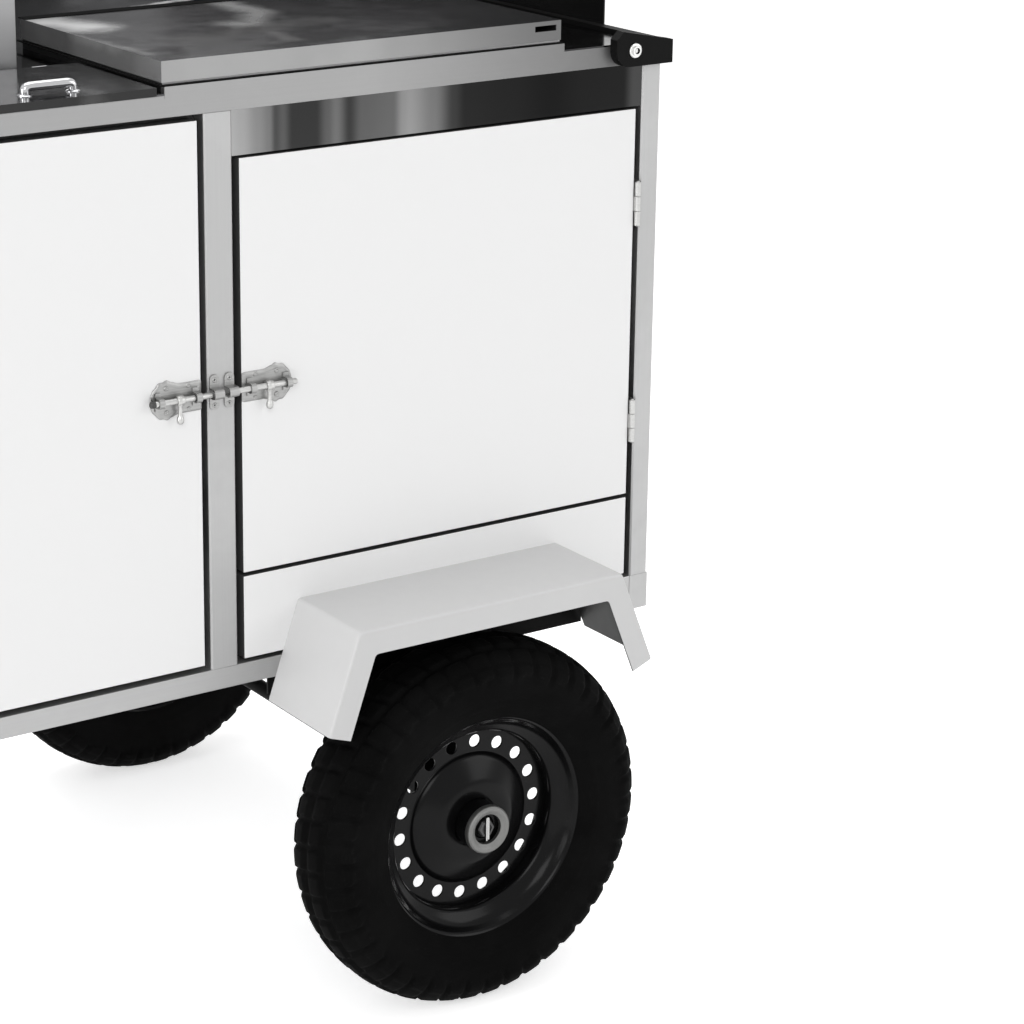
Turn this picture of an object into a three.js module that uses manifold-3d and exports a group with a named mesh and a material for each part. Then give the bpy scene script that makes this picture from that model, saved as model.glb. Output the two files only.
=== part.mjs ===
import * as THREE from "three";
import { mergeVertices } from "three/addons/utils/BufferGeometryUtils.js";
import Module from "manifold-3d";

// Hot dog vending cart on two pneumatic wheels, with a hot box and an ice well in its worktop.
// Millimetres. X runs along the serving front, Y from the front to the back, Z up from the floor.

const wasm = await Module();
wasm.setup();

// Driving dimensions of the cabinet
const bodyDepth = 610;
const worktopHeight = 1007.5;
const axleToFrame = 179.5;
const doorWidth = 488;
const midPostWidth = 31.5;
const cornerPostWidth = 24;
const postDepth = 24;
const postWall = 2;
const postCorner = 1.6;
const hingeGap = 8;
const latchGap = 7.5;
const railHeight = 23;
const profileHeight = 21.9;
const sheet = 1.5;
const clearance = 0.3;
const overrun = 1;

// Doors, fixed panels and seals
const doorThickness = 20;
const leftDoorFoot = 6.5;
const leftDoorHead = 6;
const lowerPanelFoot = 4.7;
const lowerPanelHeight = 89.5;
const panelGap = 4.1;
const fasciaHeight = 45.6;
const fasciaGap = 2.6;
const fasciaRecess = 1.5;
const fasciaReturn = 17;
const sealWidth = 12;
const sealThickness = 3.4;
const dividerGap = 18;
const dividerThickness = 2;

// Butt hinges in the gap beside each door
const hingeHeight = 48;
const hingeLeaf = 1.6;
const hingeLeafDepth = 17;
const knuckleRadius = 3.4;
const knuckleForward = 2;
const hingePinRadius = 1.5;
const upperHingeShare = 0.76;
const lowerHingeShare = 0.195;

// Barrel bolts and their keepers
const boltLevelShare = 0.457;
const boltPlateLength = 58;
const boltPlateHeight = 40;
const boltPlateShares = {
  outline: [
    [0, 0.12], [0.1, 0], [0.6, 0], [0.68, 0.08], [0.76, 0.04], [0.86, 0.12], [0.92, 0.28], [1, 0.4],
    [1, 0.6], [0.92, 0.72], [0.86, 0.88], [0.76, 0.96], [0.68, 0.92], [0.6, 1], [0.1, 1], [0, 0.88],
  ],
  screw: 0.875,
};
const boltPlateThickness = 1.3;
const boltStandoff = 6.6;
const boltRodRadius = 3.1;
const boltRodLength = 68;
const boltTipGap = 1;
const guideWidth = 6;
const guideWall = 1.6;
const guideShoulder = 1.8;
const guideMargin = 5;
const collarRadius = 5.2;
const collarLength = 8;
const collarPlace = 28;
const knobArm = 21;
const knobArmRadius = 2.4;
const knobBallRadius = 3.6;
const keeperWidth = 11;
const keeperHeight = 37;
const keeperPlace = 3;
const screwRadius = 2.6;
const screwHead = 0.9;

// Hot box: lid, well and pans
const hotLidLeft = -58;
const hotLidRight = 415;
const hotLidSetback = 6;
const hotLidDepth = 306;
const hotLidHeight = 21;
const hotBandHeight = 9.6;
const hotBandInset = 1;
const hotWellFrontInset = 22;
const hotWellSideInset = 15;
const hotWellDepth = 128;
const panDepth = 100;
const panFlange = 5;
const panSplit = 2;
const lidNotchLength = 27;
const lidNotchHeight = 6;
const lidNotchEnd = 6;
const lidHingeLength = 60;
const lidHingeShares = [0.18, 0.82];
const lidHingeReach = 4;
const lidKnuckleRadius = 3;
const burnerRadius = 9;
const burnerDrop = 22;
const burnerEndInset = 30;
const burnerStrap = 20;

// Ice well, its hatch and the hatch's pull
const hatchCentre = -160;
const hatchWidth = 186;
const hatchFrontSetback = 8;
const hatchDepth = 158;
const hatchHeight = 5;
const iceWellInset = 12;
const iceWellFrontInset = 17;
const iceWellDepth = 200;
const hatchHingeLength = 50;
const hatchHingeShares = [0.22, 0.78];
const hatchHingeReach = 3.5;
const hatchKnuckleRadius = 2.4;
const pullSpan = 52;
const pullRadius = 4;
const pullRise = 9;
const pullSetback = 22;

// Condiment box and wind guard on the worktop
const boxLeft = -508;
const boxRight = -125;
const boxFrontSetback = 184;
const boxBackSetback = 60;
const boxHeight = 170;
const boxRim = 12;
const guardHeight = 235;
const guardSetback = 23;
const guardFoot = 20;
const wingSetback = 88;
const wingPlace = 10;
const guardRailWidth = 12;
const guardRailHeight = 5;
const bracketLength = 74;
const bracketThickness = 12;
const bracketLowHeight = 25;
const bracketHighHeight = 38;
const bracketReach = 6;
const bracketBoltPlace = 44;
const bracketBoltRadius = 5.6;
const bracketBoltHead = 3.5;
const bracketNose = 17;
const bracketTongue = 16;

// Mudguards
const mudguardWidth = 120;
const mudguardGap = 57;
const mudguardLeftInset = 35;
const mudguardRightInset = 31;
const mudguardLeftSpread = 36.5;
const mudguardRightSpread = 30;
const mudguardLeftFoot = 17;
const mudguardRightFoot = 23;
const mudguardBend = 12;
const mudguardLip = 27;
const mudguardSheet = 2;

// Wheels and axle
const wheelPlace = 257;
const wheelTrackOut = 66.5;
const tyreRadius = 204;
const tyreWidth = 92;
const tyreBead = 58;
const treadCrown = 5;
const shoulderWidth = 76;
const crownWidth = 32;
const rimFlangeRadius = 117;
const rimSeatRadius = 103;
const rimWellRadius = 95;
const rimLip = 5;
const rimSheet = 2.6;
const discRingRadius = 86;
const discHoleRadius = 7;
const discHoles = 18;
const discHoleStart = 4.2 * Math.PI / 180;
const discDish = 9;
const discStepRadius = 66;
const discBandRadius = 72;
const hubFlangeRadius = 50;
const hubFlangeThickness = 5;
const hubRadius = 27;
const hubOut = 43;
const hubIn = 38;
const hubRecessRadius = 17;
const hubRecessDepth = 12;
const hubBolts = 4;
const hubBoltRadius = 6;
const hubBoltHead = 4;
const hubBoltCircle = 39;
const axleRadius = 12.5;
const axleBeam = 40;
const axleBeamInset = 6;
const axleNutRadius = 10.5;
const axleNutLength = 7;
const splitPinRadius = 2;
const hangerThickness = 8;
const hangerTopWidth = 170;
const hangerFootWidth = 74;
const hangerFootDrop = 14;
const hangerInset = 8;

// Parking legs and push handle at the left end
const legInset = 55.25;
const legSize = 28;
const legWall = 2;
const footHeight = 22;
const footFlare = 4;
const footSole = 12;
const handleDrop = 116;
const handleReach = 150;
const handleRadius = 12.5;
const handleBend = 45;
const gripLength = 300;
const gripWall = 3.5;

// Facets of round parts
const wheelFacets = 36;
const hubFacets = 20;
const smallFacets = 10;
const tubeFacets = 10;
const holeFacets = 8;
const hexagon = 6;
const bendSteps = 3;
const arcSteps = 6;

// Derived places
const bodyLength = 2 * (cornerPostWidth + hingeGap + doorWidth + latchGap) + midPostWidth;
const endX = bodyLength / 2;
const frontY = -bodyDepth / 2;
const postInnerX = endX - cornerPostWidth;
const frameClearance = tyreRadius + axleToFrame;
const frameTop = frameClearance + railHeight;
const profileTop = worktopHeight - sheet;
const profileBottom = profileTop - profileHeight;
const floorTop = frameTop + sheet;
const doorInnerX = midPostWidth / 2 + latchGap;
const doorOuterX = doorInnerX + doorWidth;
const leftDoorBottom = frameTop + leftDoorFoot;
const leftDoorTop = profileBottom - leftDoorHead;
const lowerPanelBottom = frameTop + lowerPanelFoot;
const lowerPanelTop = lowerPanelBottom + lowerPanelHeight;
const rightDoorBottom = lowerPanelTop + panelGap;
const rightDoorTop = profileBottom - fasciaHeight - fasciaGap;
const rightDoorHeight = rightDoorTop - rightDoorBottom;
const boltLevel = rightDoorBottom + boltLevelShare * rightDoorHeight;
const hotWellBottom = profileBottom - hotWellDepth;
const burnerLevel = hotWellBottom - burnerDrop;
const dividerHeight = burnerLevel - burnerRadius - dividerGap - floorTop;
const mudguardTop = 2 * tyreRadius + mudguardGap;
const mudguardLeft = wheelPlace - tyreRadius + mudguardLeftInset;
const mudguardRight = wheelPlace + tyreRadius - mudguardRightInset;
const handleLevel = worktopHeight - handleDrop;
const legPlace = legInset - endX;
const hingeX = doorOuterX + hingeGap / 2;
const hingeY = frontY - knuckleForward;
const rodY = frontY - boltPlateThickness - boltStandoff;
const bandTop = worktopHeight + hotBandHeight;
const handleEndX = endX + handleReach;

// Finishes
const finishes = {
  white_panel: [0xf2f2f0, 0.35, 0],
  aluminium: [0xb9babb, 0.4, 0.9],
  mirror_steel: [0xa8aaac, 0.12, 1],
  satin_steel: [0xb4b6b8, 0.32, 1],
  black_paint: [0x141414, 0.42, 0.1],
  black_gloss: [0x0c0c0c, 0.18, 0.2],
  seal_rubber: [0x262626, 0.8, 0],
  tyre_rubber: [0x151515, 0.85, 0],
  zinc: [0xa9aaa6, 0.42, 0.9],
  chrome: [0xd2d4d6, 0.08, 1],
  grey_enamel: [0xd4d4d4, 0.4, 0],
};
const cart = new THREE.Group();

// A closed three.js geometry as a solid; an inside-out or mirrored one is turned round.
function solidOf(geometry) {
  const bare = geometry.index ? geometry : geometry.clone();
  bare.deleteAttribute("normal");
  bare.deleteAttribute("uv");
  const merged = mergeVertices(bare, 1e-4);
  const vertProperties = new Float32Array(merged.attributes.position.array);
  const triVerts = new Uint32Array(merged.index.array);
  const made = new wasm.Manifold(new wasm.Mesh({ numProp: 3, vertProperties, triVerts }));
  if (made.volume() >= 0) return made;
  for (let i = 0; i < triVerts.length; i += 3) {
    [triVerts[i + 1], triVerts[i + 2]] = [triVerts[i + 2], triVerts[i + 1]];
  }
  return new wasm.Manifold(new wasm.Mesh({ numProp: 3, vertProperties, triVerts }));
}

function geometryOf(solid) {
  const mesh = solid.getMesh();
  const geometry = new THREE.BufferGeometry();
  geometry.setAttribute("position", new THREE.BufferAttribute(new Float32Array(mesh.vertProperties), 3));
  geometry.setIndex(new THREE.BufferAttribute(new Uint32Array(mesh.triVerts), 1));
  geometry.computeVertexNormals();
  return geometry;
}

function add(name, solid, finish) {
  const [color, roughness, metalness] = finishes[finish];
  const mesh = new THREE.Mesh(
    geometryOf(solid),
    new THREE.MeshStandardMaterial({ color, roughness, metalness }),
  );
  mesh.name = name;
  cart.add(mesh);
}

const join = (...solids) => solids.reduce((a, b) => a.add(b));

// A box between two opposite corners, given in any order.
function block(x0, x1, y0, y1, z0, z1) {
  const box = new THREE.BoxGeometry(Math.abs(x1 - x0), Math.abs(y1 - y0), Math.abs(z1 - z0));
  return solidOf(box.translate((x0 + x1) / 2, (y0 + y1) / 2, (z0 + z1) / 2));
}

// A round bar between two points.
function bar(radius, from, to, facets = smallFacets) {
  const a = new THREE.Vector3(...from);
  const run = new THREE.Vector3(...to).sub(a);
  const cylinder = new THREE.CylinderGeometry(radius, radius, run.length(), facets);
  const turn = new THREE.Quaternion().setFromUnitVectors(
    new THREE.Vector3(0, 1, 0),
    run.clone().normalize(),
  );
  cylinder.applyQuaternion(turn).translate(...a.addScaledVector(run, 1 / 2).toArray());
  return solidOf(cylinder);
}

const points2 = (points) => points.map(([x, y]) => new THREE.Vector2(x, y));
const shapeOf = (points) => new THREE.Shape(points2(points));
const holeOf = (points) => new THREE.Path(points2(points));

// Outlines drawn in the XY, XZ or YZ plane and pulled along the third axis.
function pull(shape, from, to, across) {
  const depth = Math.abs(to - from);
  const geometry = new THREE.ExtrudeGeometry(shape, { depth, bevelEnabled: false, curveSegments: arcSteps });
  geometry.translate(0, 0, Math.min(from, to));
  const x = new THREE.Vector3(1, 0, 0);
  const y = new THREE.Vector3(0, 1, 0);
  const z = new THREE.Vector3(0, 0, 1);
  const frames = { z: [x, y, z], y: [x, z, y], x: [y, z, x] };
  geometry.applyMatrix4(new THREE.Matrix4().makeBasis(...frames[across]));
  return solidOf(geometry);
}

// A profile of (radius, y) pairs turned round a line along Y.
function turned(profile, x, z, facets) {
  const closed = [...profile, profile[0]].map(([r, y]) => new THREE.Vector2(r, y));
  return solidOf(new THREE.LatheGeometry(closed, facets).translate(x, 0, z));
}

function ringShape(x0, x1, y0, y1, width) {
  const outline = shapeOf([[x0, y0], [x1, y0], [x1, y1], [x0, y1]]);
  const [a, b, c, d] = [x0 + width, x1 - width, y0 + width, y1 - width];
  outline.holes.push(holeOf([[a, c], [a, d], [b, d], [b, c]]));
  return outline;
}

// A square tube standing upright, with broken corners.
function uprightTube(x, y, width, depth, wall, z0, z1) {
  const outline = (w, d, c) =>
    [[-w + c, -d], [w - c, -d], [w, -d + c], [w, d - c], [w - c, d], [-w + c, d], [-w, d - c], [-w, -d + c]]
      .map(([u, v]) => new THREE.Vector2(x + u, y + v));
  const shape = new THREE.Shape(outline(width / 2, depth / 2, postCorner));
  shape.holes.push(new THREE.Path(outline(width / 2 - wall, depth / 2 - wall, postCorner / 2)));
  return pull(shape, z0, z1, "z");
}

// Bottom frame: a welded ring of tube with a cross rail under the middle post
function bottomFrame() {
  const ring = pull(ringShape(-endX, endX, frontY, -frontY, cornerPostWidth), frameClearance, frameTop, "z");
  const half = midPostWidth / 2;
  const inner = frontY + cornerPostWidth - overrun;
  add("bottom_frame", join(ring, block(-half, half, inner, -inner, frameClearance, frameTop)), "aluminium");
}

// The fixed half of a door's hinge: a leaf on the post, two outer knuckles and the pin
function postLeaf(side, middle) {
  const low = middle - hingeHeight / 2;
  const high = middle + hingeHeight / 2;
  const third = hingeHeight / 3;
  const x = side * hingeX;
  const half = hingeGap / 2;
  const leaf = block(
    side * (postInnerX + overrun), side * (postInnerX - hingeLeaf),
    hingeY, frontY + hingeLeafDepth, low, high,
  );
  const room = block(
    x - half, x + half,
    hingeY - half, hingeY + knuckleRadius + clearance,
    low + third - clearance, high - third + clearance,
  );
  const knuckles = bar(knuckleRadius, [x, hingeY, low], [x, hingeY, high]);
  const pin = bar(hingePinRadius, [x, hingeY, low], [x, hingeY, high]);
  return join(join(leaf, knuckles).subtract(room), pin);
}

function hingeLevels(bottom, height) {
  return [bottom + height * lowerHingeShare, bottom + height * upperHingeShare];
}

function posts() {
  const middleY = frontY + postDepth / 2;
  const doors = { "-1": [leftDoorBottom, leftDoorTop], "1": [rightDoorBottom, rightDoorTop] };
  for (const [sideName, side] of [["left", -1], ["right", 1]]) {
    const x = side * (endX - cornerPostWidth / 2);
    const tube = (y) => uprightTube(x, y, cornerPostWidth, postDepth, postWall, frameTop, profileBottom);
    const [bottom, top] = doors[side];
    const leaves = hingeLevels(bottom, top - bottom).map((level) => postLeaf(side, level));
    add(`post_front_${sideName}`, join(tube(middleY), ...leaves), "aluminium");
    add(`post_rear_${sideName}`, tube(-middleY), "aluminium");
  }
  const middle = uprightTube(0, middleY, midPostWidth, postDepth, postWall, frameTop, profileBottom);
  add("post_front_middle", middle, "aluminium");
}

// Worktop: a mirror-polished sheet on a ring of edge profile, cut for the two wells
function worktop() {
  const ring = ringShape(-endX, endX, frontY, -frontY, postDepth);
  add("edge_profile", pull(ring, profileBottom, profileTop, "z"), "aluminium");
  const top = shapeOf([[-endX, frontY], [endX, frontY], [endX, -frontY], [-endX, -frontY]]);
  for (const well of [hotWell, iceWell]) {
    const [x0, x1, y0, y1] = [well.x0 - overrun, well.x1 + overrun, well.y0 - overrun, well.y1 + overrun];
    top.holes.push(holeOf([[x0, y0], [x0, y1], [x1, y1], [x1, y0]]));
  }
  add("worktop", pull(top, profileTop, worktopHeight, "z"), "mirror_steel");
}

// Fixed sheets that close the cabinet
function cabinetPanels() {
  const inner = frontY + postDepth;
  for (const [sideName, side] of [["left", -1], ["right", 1]]) {
    const panel = block(side * (endX - sheet), side * endX, inner, -inner, frameTop, profileBottom);
    add(`side_panel_${sideName}`, panel, "white_panel");
  }
  const back = block(-postInnerX, postInnerX, -frontY - sheet, -frontY, frameTop, profileBottom);
  add("rear_panel", back, "white_panel");
  const floorX = endX - sheet - clearance;
  const floorY = inner + clearance;
  add("floor_panel", block(-floorX, floorX, floorY, -floorY, frameTop, floorTop), "satin_steel");
  const half = dividerThickness / 2;
  const divider = block(-half, half, floorY, -frontY - sheet - clearance, floorTop, floorTop + dividerHeight);
  add("divider_panel", divider, "satin_steel");
  const fasciaY = frontY + fasciaRecess;
  const low = profileBottom - fasciaHeight;
  const fascia = pull(
    shapeOf([
      [fasciaY, low], [fasciaY + fasciaReturn, low], [fasciaY + fasciaReturn, low + sheet],
      [fasciaY + sheet, low + sheet], [fasciaY + sheet, profileBottom], [fasciaY, profileBottom],
    ]),
    midPostWidth / 2, postInnerX, "x",
  );
  add("fascia_front", fascia, "mirror_steel");
  add("lower_panel_front", pan(doorInnerX, doorOuterX, lowerPanelBottom, lowerPanelTop), "white_panel");
}

// A flush panel folded from sheet, open at the back
function pan(x0, x1, z0, z1) {
  const back = frontY + doorThickness;
  const outer = block(x0, x1, frontY, back, z0, z1);
  const [lowX, highX] = [Math.min(x0, x1) + sheet, Math.max(x0, x1) - sheet];
  return outer.subtract(block(lowX, highX, frontY + sheet, back + overrun, z0 + sheet, z1 - sheet));
}

// A rubber seal between the posts, behind the edges of the door
function seal(side, bottom, top, bars) {
  const y = frontY + doorThickness + clearance;
  const [x0, x1] = [side * midPostWidth / 2, side * postInnerX].sort((a, b) => a - b);
  const ring = ringShape(x0, x1, bottom, top, sealWidth + latchGap);
  const strips = bars.map(([low, high]) => block(x0, x1, y, y + sealThickness, low, high));
  return join(pull(ring, y, y + sealThickness, "y"), ...strips);
}

// The moving half of a door's hinge, with a bored middle knuckle
function doorLeaf(side, middle) {
  const third = hingeHeight / 6;
  const half = hingeHeight / 2;
  const x = side * hingeX;
  const reach = hingeGap / 2;
  const leaf = block(
    side * doorOuterX, side * (doorOuterX + hingeLeaf),
    hingeY, frontY + hingeLeafDepth,
    middle - half, middle + half,
  );
  const relief = (a, b) =>
    block(x - reach, x + reach, hingeY - reach, hingeY + knuckleRadius + clearance, a, b);
  const knuckle = bar(knuckleRadius, [x, hingeY, middle - third], [x, hingeY, middle + third]);
  const bore = bar(
    hingePinRadius + clearance,
    [x, hingeY, middle - hingeHeight], [x, hingeY, middle + hingeHeight],
  );
  const cut = leaf
    .subtract(relief(middle - half - overrun, middle - third))
    .subtract(relief(middle + third, middle + half + overrun));
  return join(cut, knuckle).subtract(bore);
}

function doors() {
  const rightSeal = seal(1, frameTop, rightDoorTop + sealWidth, [
    [lowerPanelTop - sealWidth, rightDoorBottom + sealWidth],
  ]);
  add("seal_right", rightSeal, "seal_rubber");
  add("seal_left", seal(-1, frameTop, profileBottom, []), "seal_rubber");
  add("door_right", pan(doorInnerX, doorOuterX, rightDoorBottom, rightDoorTop), "white_panel");
  add("door_left", pan(-doorOuterX, -doorInnerX, leftDoorBottom, leftDoorTop), "white_panel");
  const rows = [["right", 1, rightDoorBottom, rightDoorTop], ["left", -1, leftDoorBottom, leftDoorTop]];
  for (const [sideName, side, bottom, top] of rows) {
    const [low, high] = hingeLevels(bottom, top - bottom);
    add(`hinge_leaf_${sideName}_lower`, doorLeaf(side, low), "zinc");
    add(`hinge_leaf_${sideName}_upper`, doorLeaf(side, high), "zinc");
  }
}

// A pressed plate with scalloped ends, as an outline of width by height
function scalloped(x0, x1, z0, z1) {
  return shapeOf(boltPlateShares.outline.map(([u, v]) => [x0 + u * (x1 - x0), z0 + v * (z1 - z0)]));
}

// A staple that bridges the rod: a strip bent square over it, with both feet on the plate
function staple(sideA, sideB, baseY) {
  const inner = boltRodRadius + clearance;
  const outer = inner + guideWall;
  const crown = rodY - outer;
  const half = [
    [baseY, outer], [crown + guideShoulder, outer], [crown, outer - guideShoulder],
  ];
  const tunnel = [[baseY, -inner], [rodY - inner, -inner], [rodY - inner, inner], [baseY, inner]];
  const outline = [...half, ...half.map(([y, z]) => [y, -z]).reverse(), ...tunnel];
  return pull(shapeOf(outline.map(([y, z]) => [y, boltLevel + z])), sideA, sideB, "x");
}

// A domed screw head, sunk a little into the plate it holds
function screw(x, z, baseY) {
  const sunk = boltPlateThickness / 2;
  const dome = new THREE.CylinderGeometry(screwRadius / 2, screwRadius, screwHead + sunk, smallFacets);
  dome.rotateX(Math.PI).translate(x, baseY + (sunk - screwHead) / 2, z);
  return solidOf(dome);
}

// One barrel bolt on its door and the keeper on the middle post; side is 1 for the right door
function barrelBolt(sideName, side) {
  const near = doorInnerX;
  const far = near + boltPlateLength;
  const plateFace = frontY - boltPlateThickness;
  const mirrored = (shape) =>
    shapeOf(shape.getPoints(arcSteps).map((p) => [side * p.x, p.y]));
  const outline = scalloped(near, far, boltLevel - boltPlateHeight / 2, boltLevel + boltPlateHeight / 2);
  const plate = pull(mirrored(outline), plateFace, frontY, "y");
  const guides = [near + guideMargin, far - guideMargin - guideWidth].map((x) =>
    staple(side * x, side * (x + guideWidth), frontY - boltPlateThickness / 2));
  const screwLevel = boltPlateHeight * (boltPlateShares.screw - 1 / 2);
  const screws = [near + guideMargin + guideWidth / 2, far - 2 * guideMargin - guideWidth].flatMap((x) =>
    [-1, 1].map((up) => screw(side * x, boltLevel + up * screwLevel, plateFace)));
  add(`bolt_plate_${sideName}`, join(plate, ...guides, ...screws), "zinc");

  const tip = keeperPlace + keeperWidth + boltTipGap;
  const onRod = (x) => [x, rodY, boltLevel];
  const rod = bar(boltRodRadius, onRod(side * tip), onRod(side * (tip + boltRodLength)));
  add(`bolt_rod_${sideName}`, rod, "zinc");

  const knobX = side * (near + collarPlace);
  const half = collarLength / 2;
  const collar = bar(collarRadius, onRod(knobX - half), onRod(knobX + half));
  const arm = bar(knobArmRadius, onRod(knobX), [knobX, rodY, boltLevel - knobArm]);
  const ball = new THREE.SphereGeometry(knobBallRadius, smallFacets, smallFacets / 2);
  ball.translate(knobX, rodY, boltLevel - knobArm);
  const bore = bar(boltRodRadius + clearance, onRod(knobX - collarLength), onRod(knobX + collarLength));
  add(`bolt_knob_${sideName}`, join(collar, arm, solidOf(ball)).subtract(bore), "zinc");

  const [k0, k1] = [side * keeperPlace, side * (keeperPlace + keeperWidth)];
  const middle = (k0 + k1) / 2;
  const earRise = (keeperHeight - keeperWidth) / 2;
  const strip = block(k0, k1, plateFace, frontY, boltLevel - earRise, boltLevel + earRise);
  const ears = [-1, 1].map((up) => {
    const z = boltLevel + up * earRise;
    return join(bar(keeperWidth / 2, [middle, plateFace, z], [middle, frontY, z]), screw(middle, z, plateFace));
  });
  const loop = staple(k0, k1, frontY - boltPlateThickness / 2);
  add(`bolt_keeper_${sideName}`, join(strip, ...ears, loop), "zinc");
}

// Wells of the worktop: outer box of each tub
const hotWell = {
  x0: hotLidLeft + hotWellSideInset,
  x1: hotLidRight - hotWellSideInset,
  y0: frontY + hotLidSetback + hotWellFrontInset,
  y1: frontY + hotLidSetback + hotLidDepth - hotWellSideInset,
};
const iceWell = {
  x0: hatchCentre - hatchWidth / 2 + iceWellInset,
  x1: hatchCentre + hatchWidth / 2 - iceWellInset,
  y0: frontY + hatchFrontSetback + iceWellFrontInset,
  y1: frontY + hatchFrontSetback + hatchDepth - iceWellInset,
};

function tub(well, bottom, top) {
  const outer = block(well.x0, well.x1, well.y0, well.y1, bottom, top);
  const hollow = block(
    well.x0 + sheet, well.x1 - sheet, well.y0 + sheet, well.y1 - sheet,
    bottom + sheet, top + overrun,
  );
  return [outer, hollow];
}

// Hinges behind a lid: the fixed halves join the well, the bored halves join the lid
function lidHinges(well, lid, length, radius, axisY, axisZ) {
  const fixed = [];
  const moving = [];
  const bores = [];
  for (const share of lid.shares) {
    const middle = lid.x0 + (lid.x1 - lid.x0) * share;
    const half = length / 2;
    const inner = length / 6;
    const [low, high] = [middle - inner + clearance, middle + inner - clearance];
    const back = axisY + radius / 2;
    fixed.push(
      bar(radius / 2, [middle - half, axisY, axisZ], [middle + half, axisY, axisZ]),
      bar(radius, [low, axisY, axisZ], [high, axisY, axisZ]),
      block(low, high, well.back, back, worktopHeight, well.top),
      block(low, high, axisY - radius, back, worktopHeight, axisZ),
    );
    for (const end of [-1, 1]) {
      const [a, b] = [middle + end * inner, middle + end * half];
      moving.push(bar(radius, [a, axisY, axisZ], [b, axisY, axisZ]));
      moving.push(block(a, b, lid.back, axisY, axisZ, axisZ + radius));
    }
    bores.push(bar(radius / 2 + clearance, [middle - length, axisY, axisZ], [middle + length, axisY, axisZ]));
  }
  return { fixed, moving, bores };
}

function hotBox() {
  const [x0, x1] = [hotLidLeft, hotLidRight];
  const y0 = frontY + hotLidSetback;
  const y1 = y0 + hotLidDepth;
  const axisY = y1 + lidHingeReach;
  const axisZ = bandTop + lidKnuckleRadius - sheet;
  const band = block(
    x0 + hotBandInset, x1 - hotBandInset, y0 + hotBandInset, y1 - hotBandInset,
    worktopHeight, bandTop,
  );
  const inset = hotBandInset + sheet;
  const underside = block(
    x0 + inset, x1 - inset, y0 + inset, y1 - inset,
    worktopHeight - overrun, bandTop - sheet,
  );
  const [outer, hollow] = tub(hotWell, hotWellBottom, bandTop);
  const hinges = lidHinges(
    { back: y1 - inset, top: bandTop },
    { x0, x1, back: y1 - sheet, shares: lidHingeShares },
    lidHingeLength, lidKnuckleRadius, axisY, axisZ,
  );
  const well = join(band.subtract(underside), outer, ...hinges.fixed).subtract(hollow);
  add("hot_well", well, "satin_steel");

  const skirtBottom = bandTop + clearance;
  const shell = block(x0, x1, y0, y1, skirtBottom, skirtBottom + hotLidHeight);
  const inside = block(
    x0 + sheet, x1 - sheet, y0 + sheet, y1 - sheet,
    skirtBottom - overrun, skirtBottom + hotLidHeight - sheet,
  );
  const notchMiddle = skirtBottom + hotLidHeight / 2;
  const notch = block(
    x1 - lidNotchEnd - lidNotchLength, x1 - lidNotchEnd,
    y0 - overrun, y0 + sheet + overrun,
    notchMiddle, notchMiddle + lidNotchHeight,
  );
  let lid = join(shell.subtract(inside).subtract(notch), ...hinges.moving);
  for (const bore of hinges.bores) lid = lid.subtract(bore);
  add("hot_lid", lid, "mirror_steel");

  const middle = (hotWell.x0 + hotWell.x1) / 2;
  const slack = sheet + overrun;
  const halves = [
    ["left", hotWell.x0 + slack, middle - panFlange],
    ["right", middle + panFlange, hotWell.x1 - slack],
  ];
  for (const [name, a, b] of halves) {
    const bottom = bandTop - panDepth;
    const [c, d] = [hotWell.y0 + slack, hotWell.y1 - slack];
    const top = bandTop + clearance + sheet;
    const body = block(a, b, c, d, bottom, top);
    const flangeLeft = name === "left" ? a - panFlange : middle + panSplit / 2;
    const flangeRight = name === "left" ? middle - panSplit / 2 : b + panFlange;
    const flange = block(flangeLeft, flangeRight, c - panFlange, d + panFlange, bandTop + clearance, top);
    const inner = block(a + sheet, b - sheet, c + sheet, d - sheet, bottom + sheet, top + overrun);
    add(`hot_pan_${name}`, join(body, flange).subtract(inner), "satin_steel");
  }

  const burnerY = (hotWell.y0 + hotWell.y1) / 2;
  const ends = [hotWell.x0 + burnerEndInset, hotWell.x1 - burnerEndInset];
  const [start, stop] = ends.map((x) => [x, burnerY, burnerLevel]);
  const pipe = bar(burnerRadius, start, stop);
  const straps = ends.map((x, i) => {
    const from = i ? x - burnerStrap : x;
    return block(from, from + burnerStrap, burnerY - sheet, burnerY + sheet, burnerLevel, hotWellBottom);
  });
  add("burner", join(pipe, ...straps), "satin_steel");
}

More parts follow.
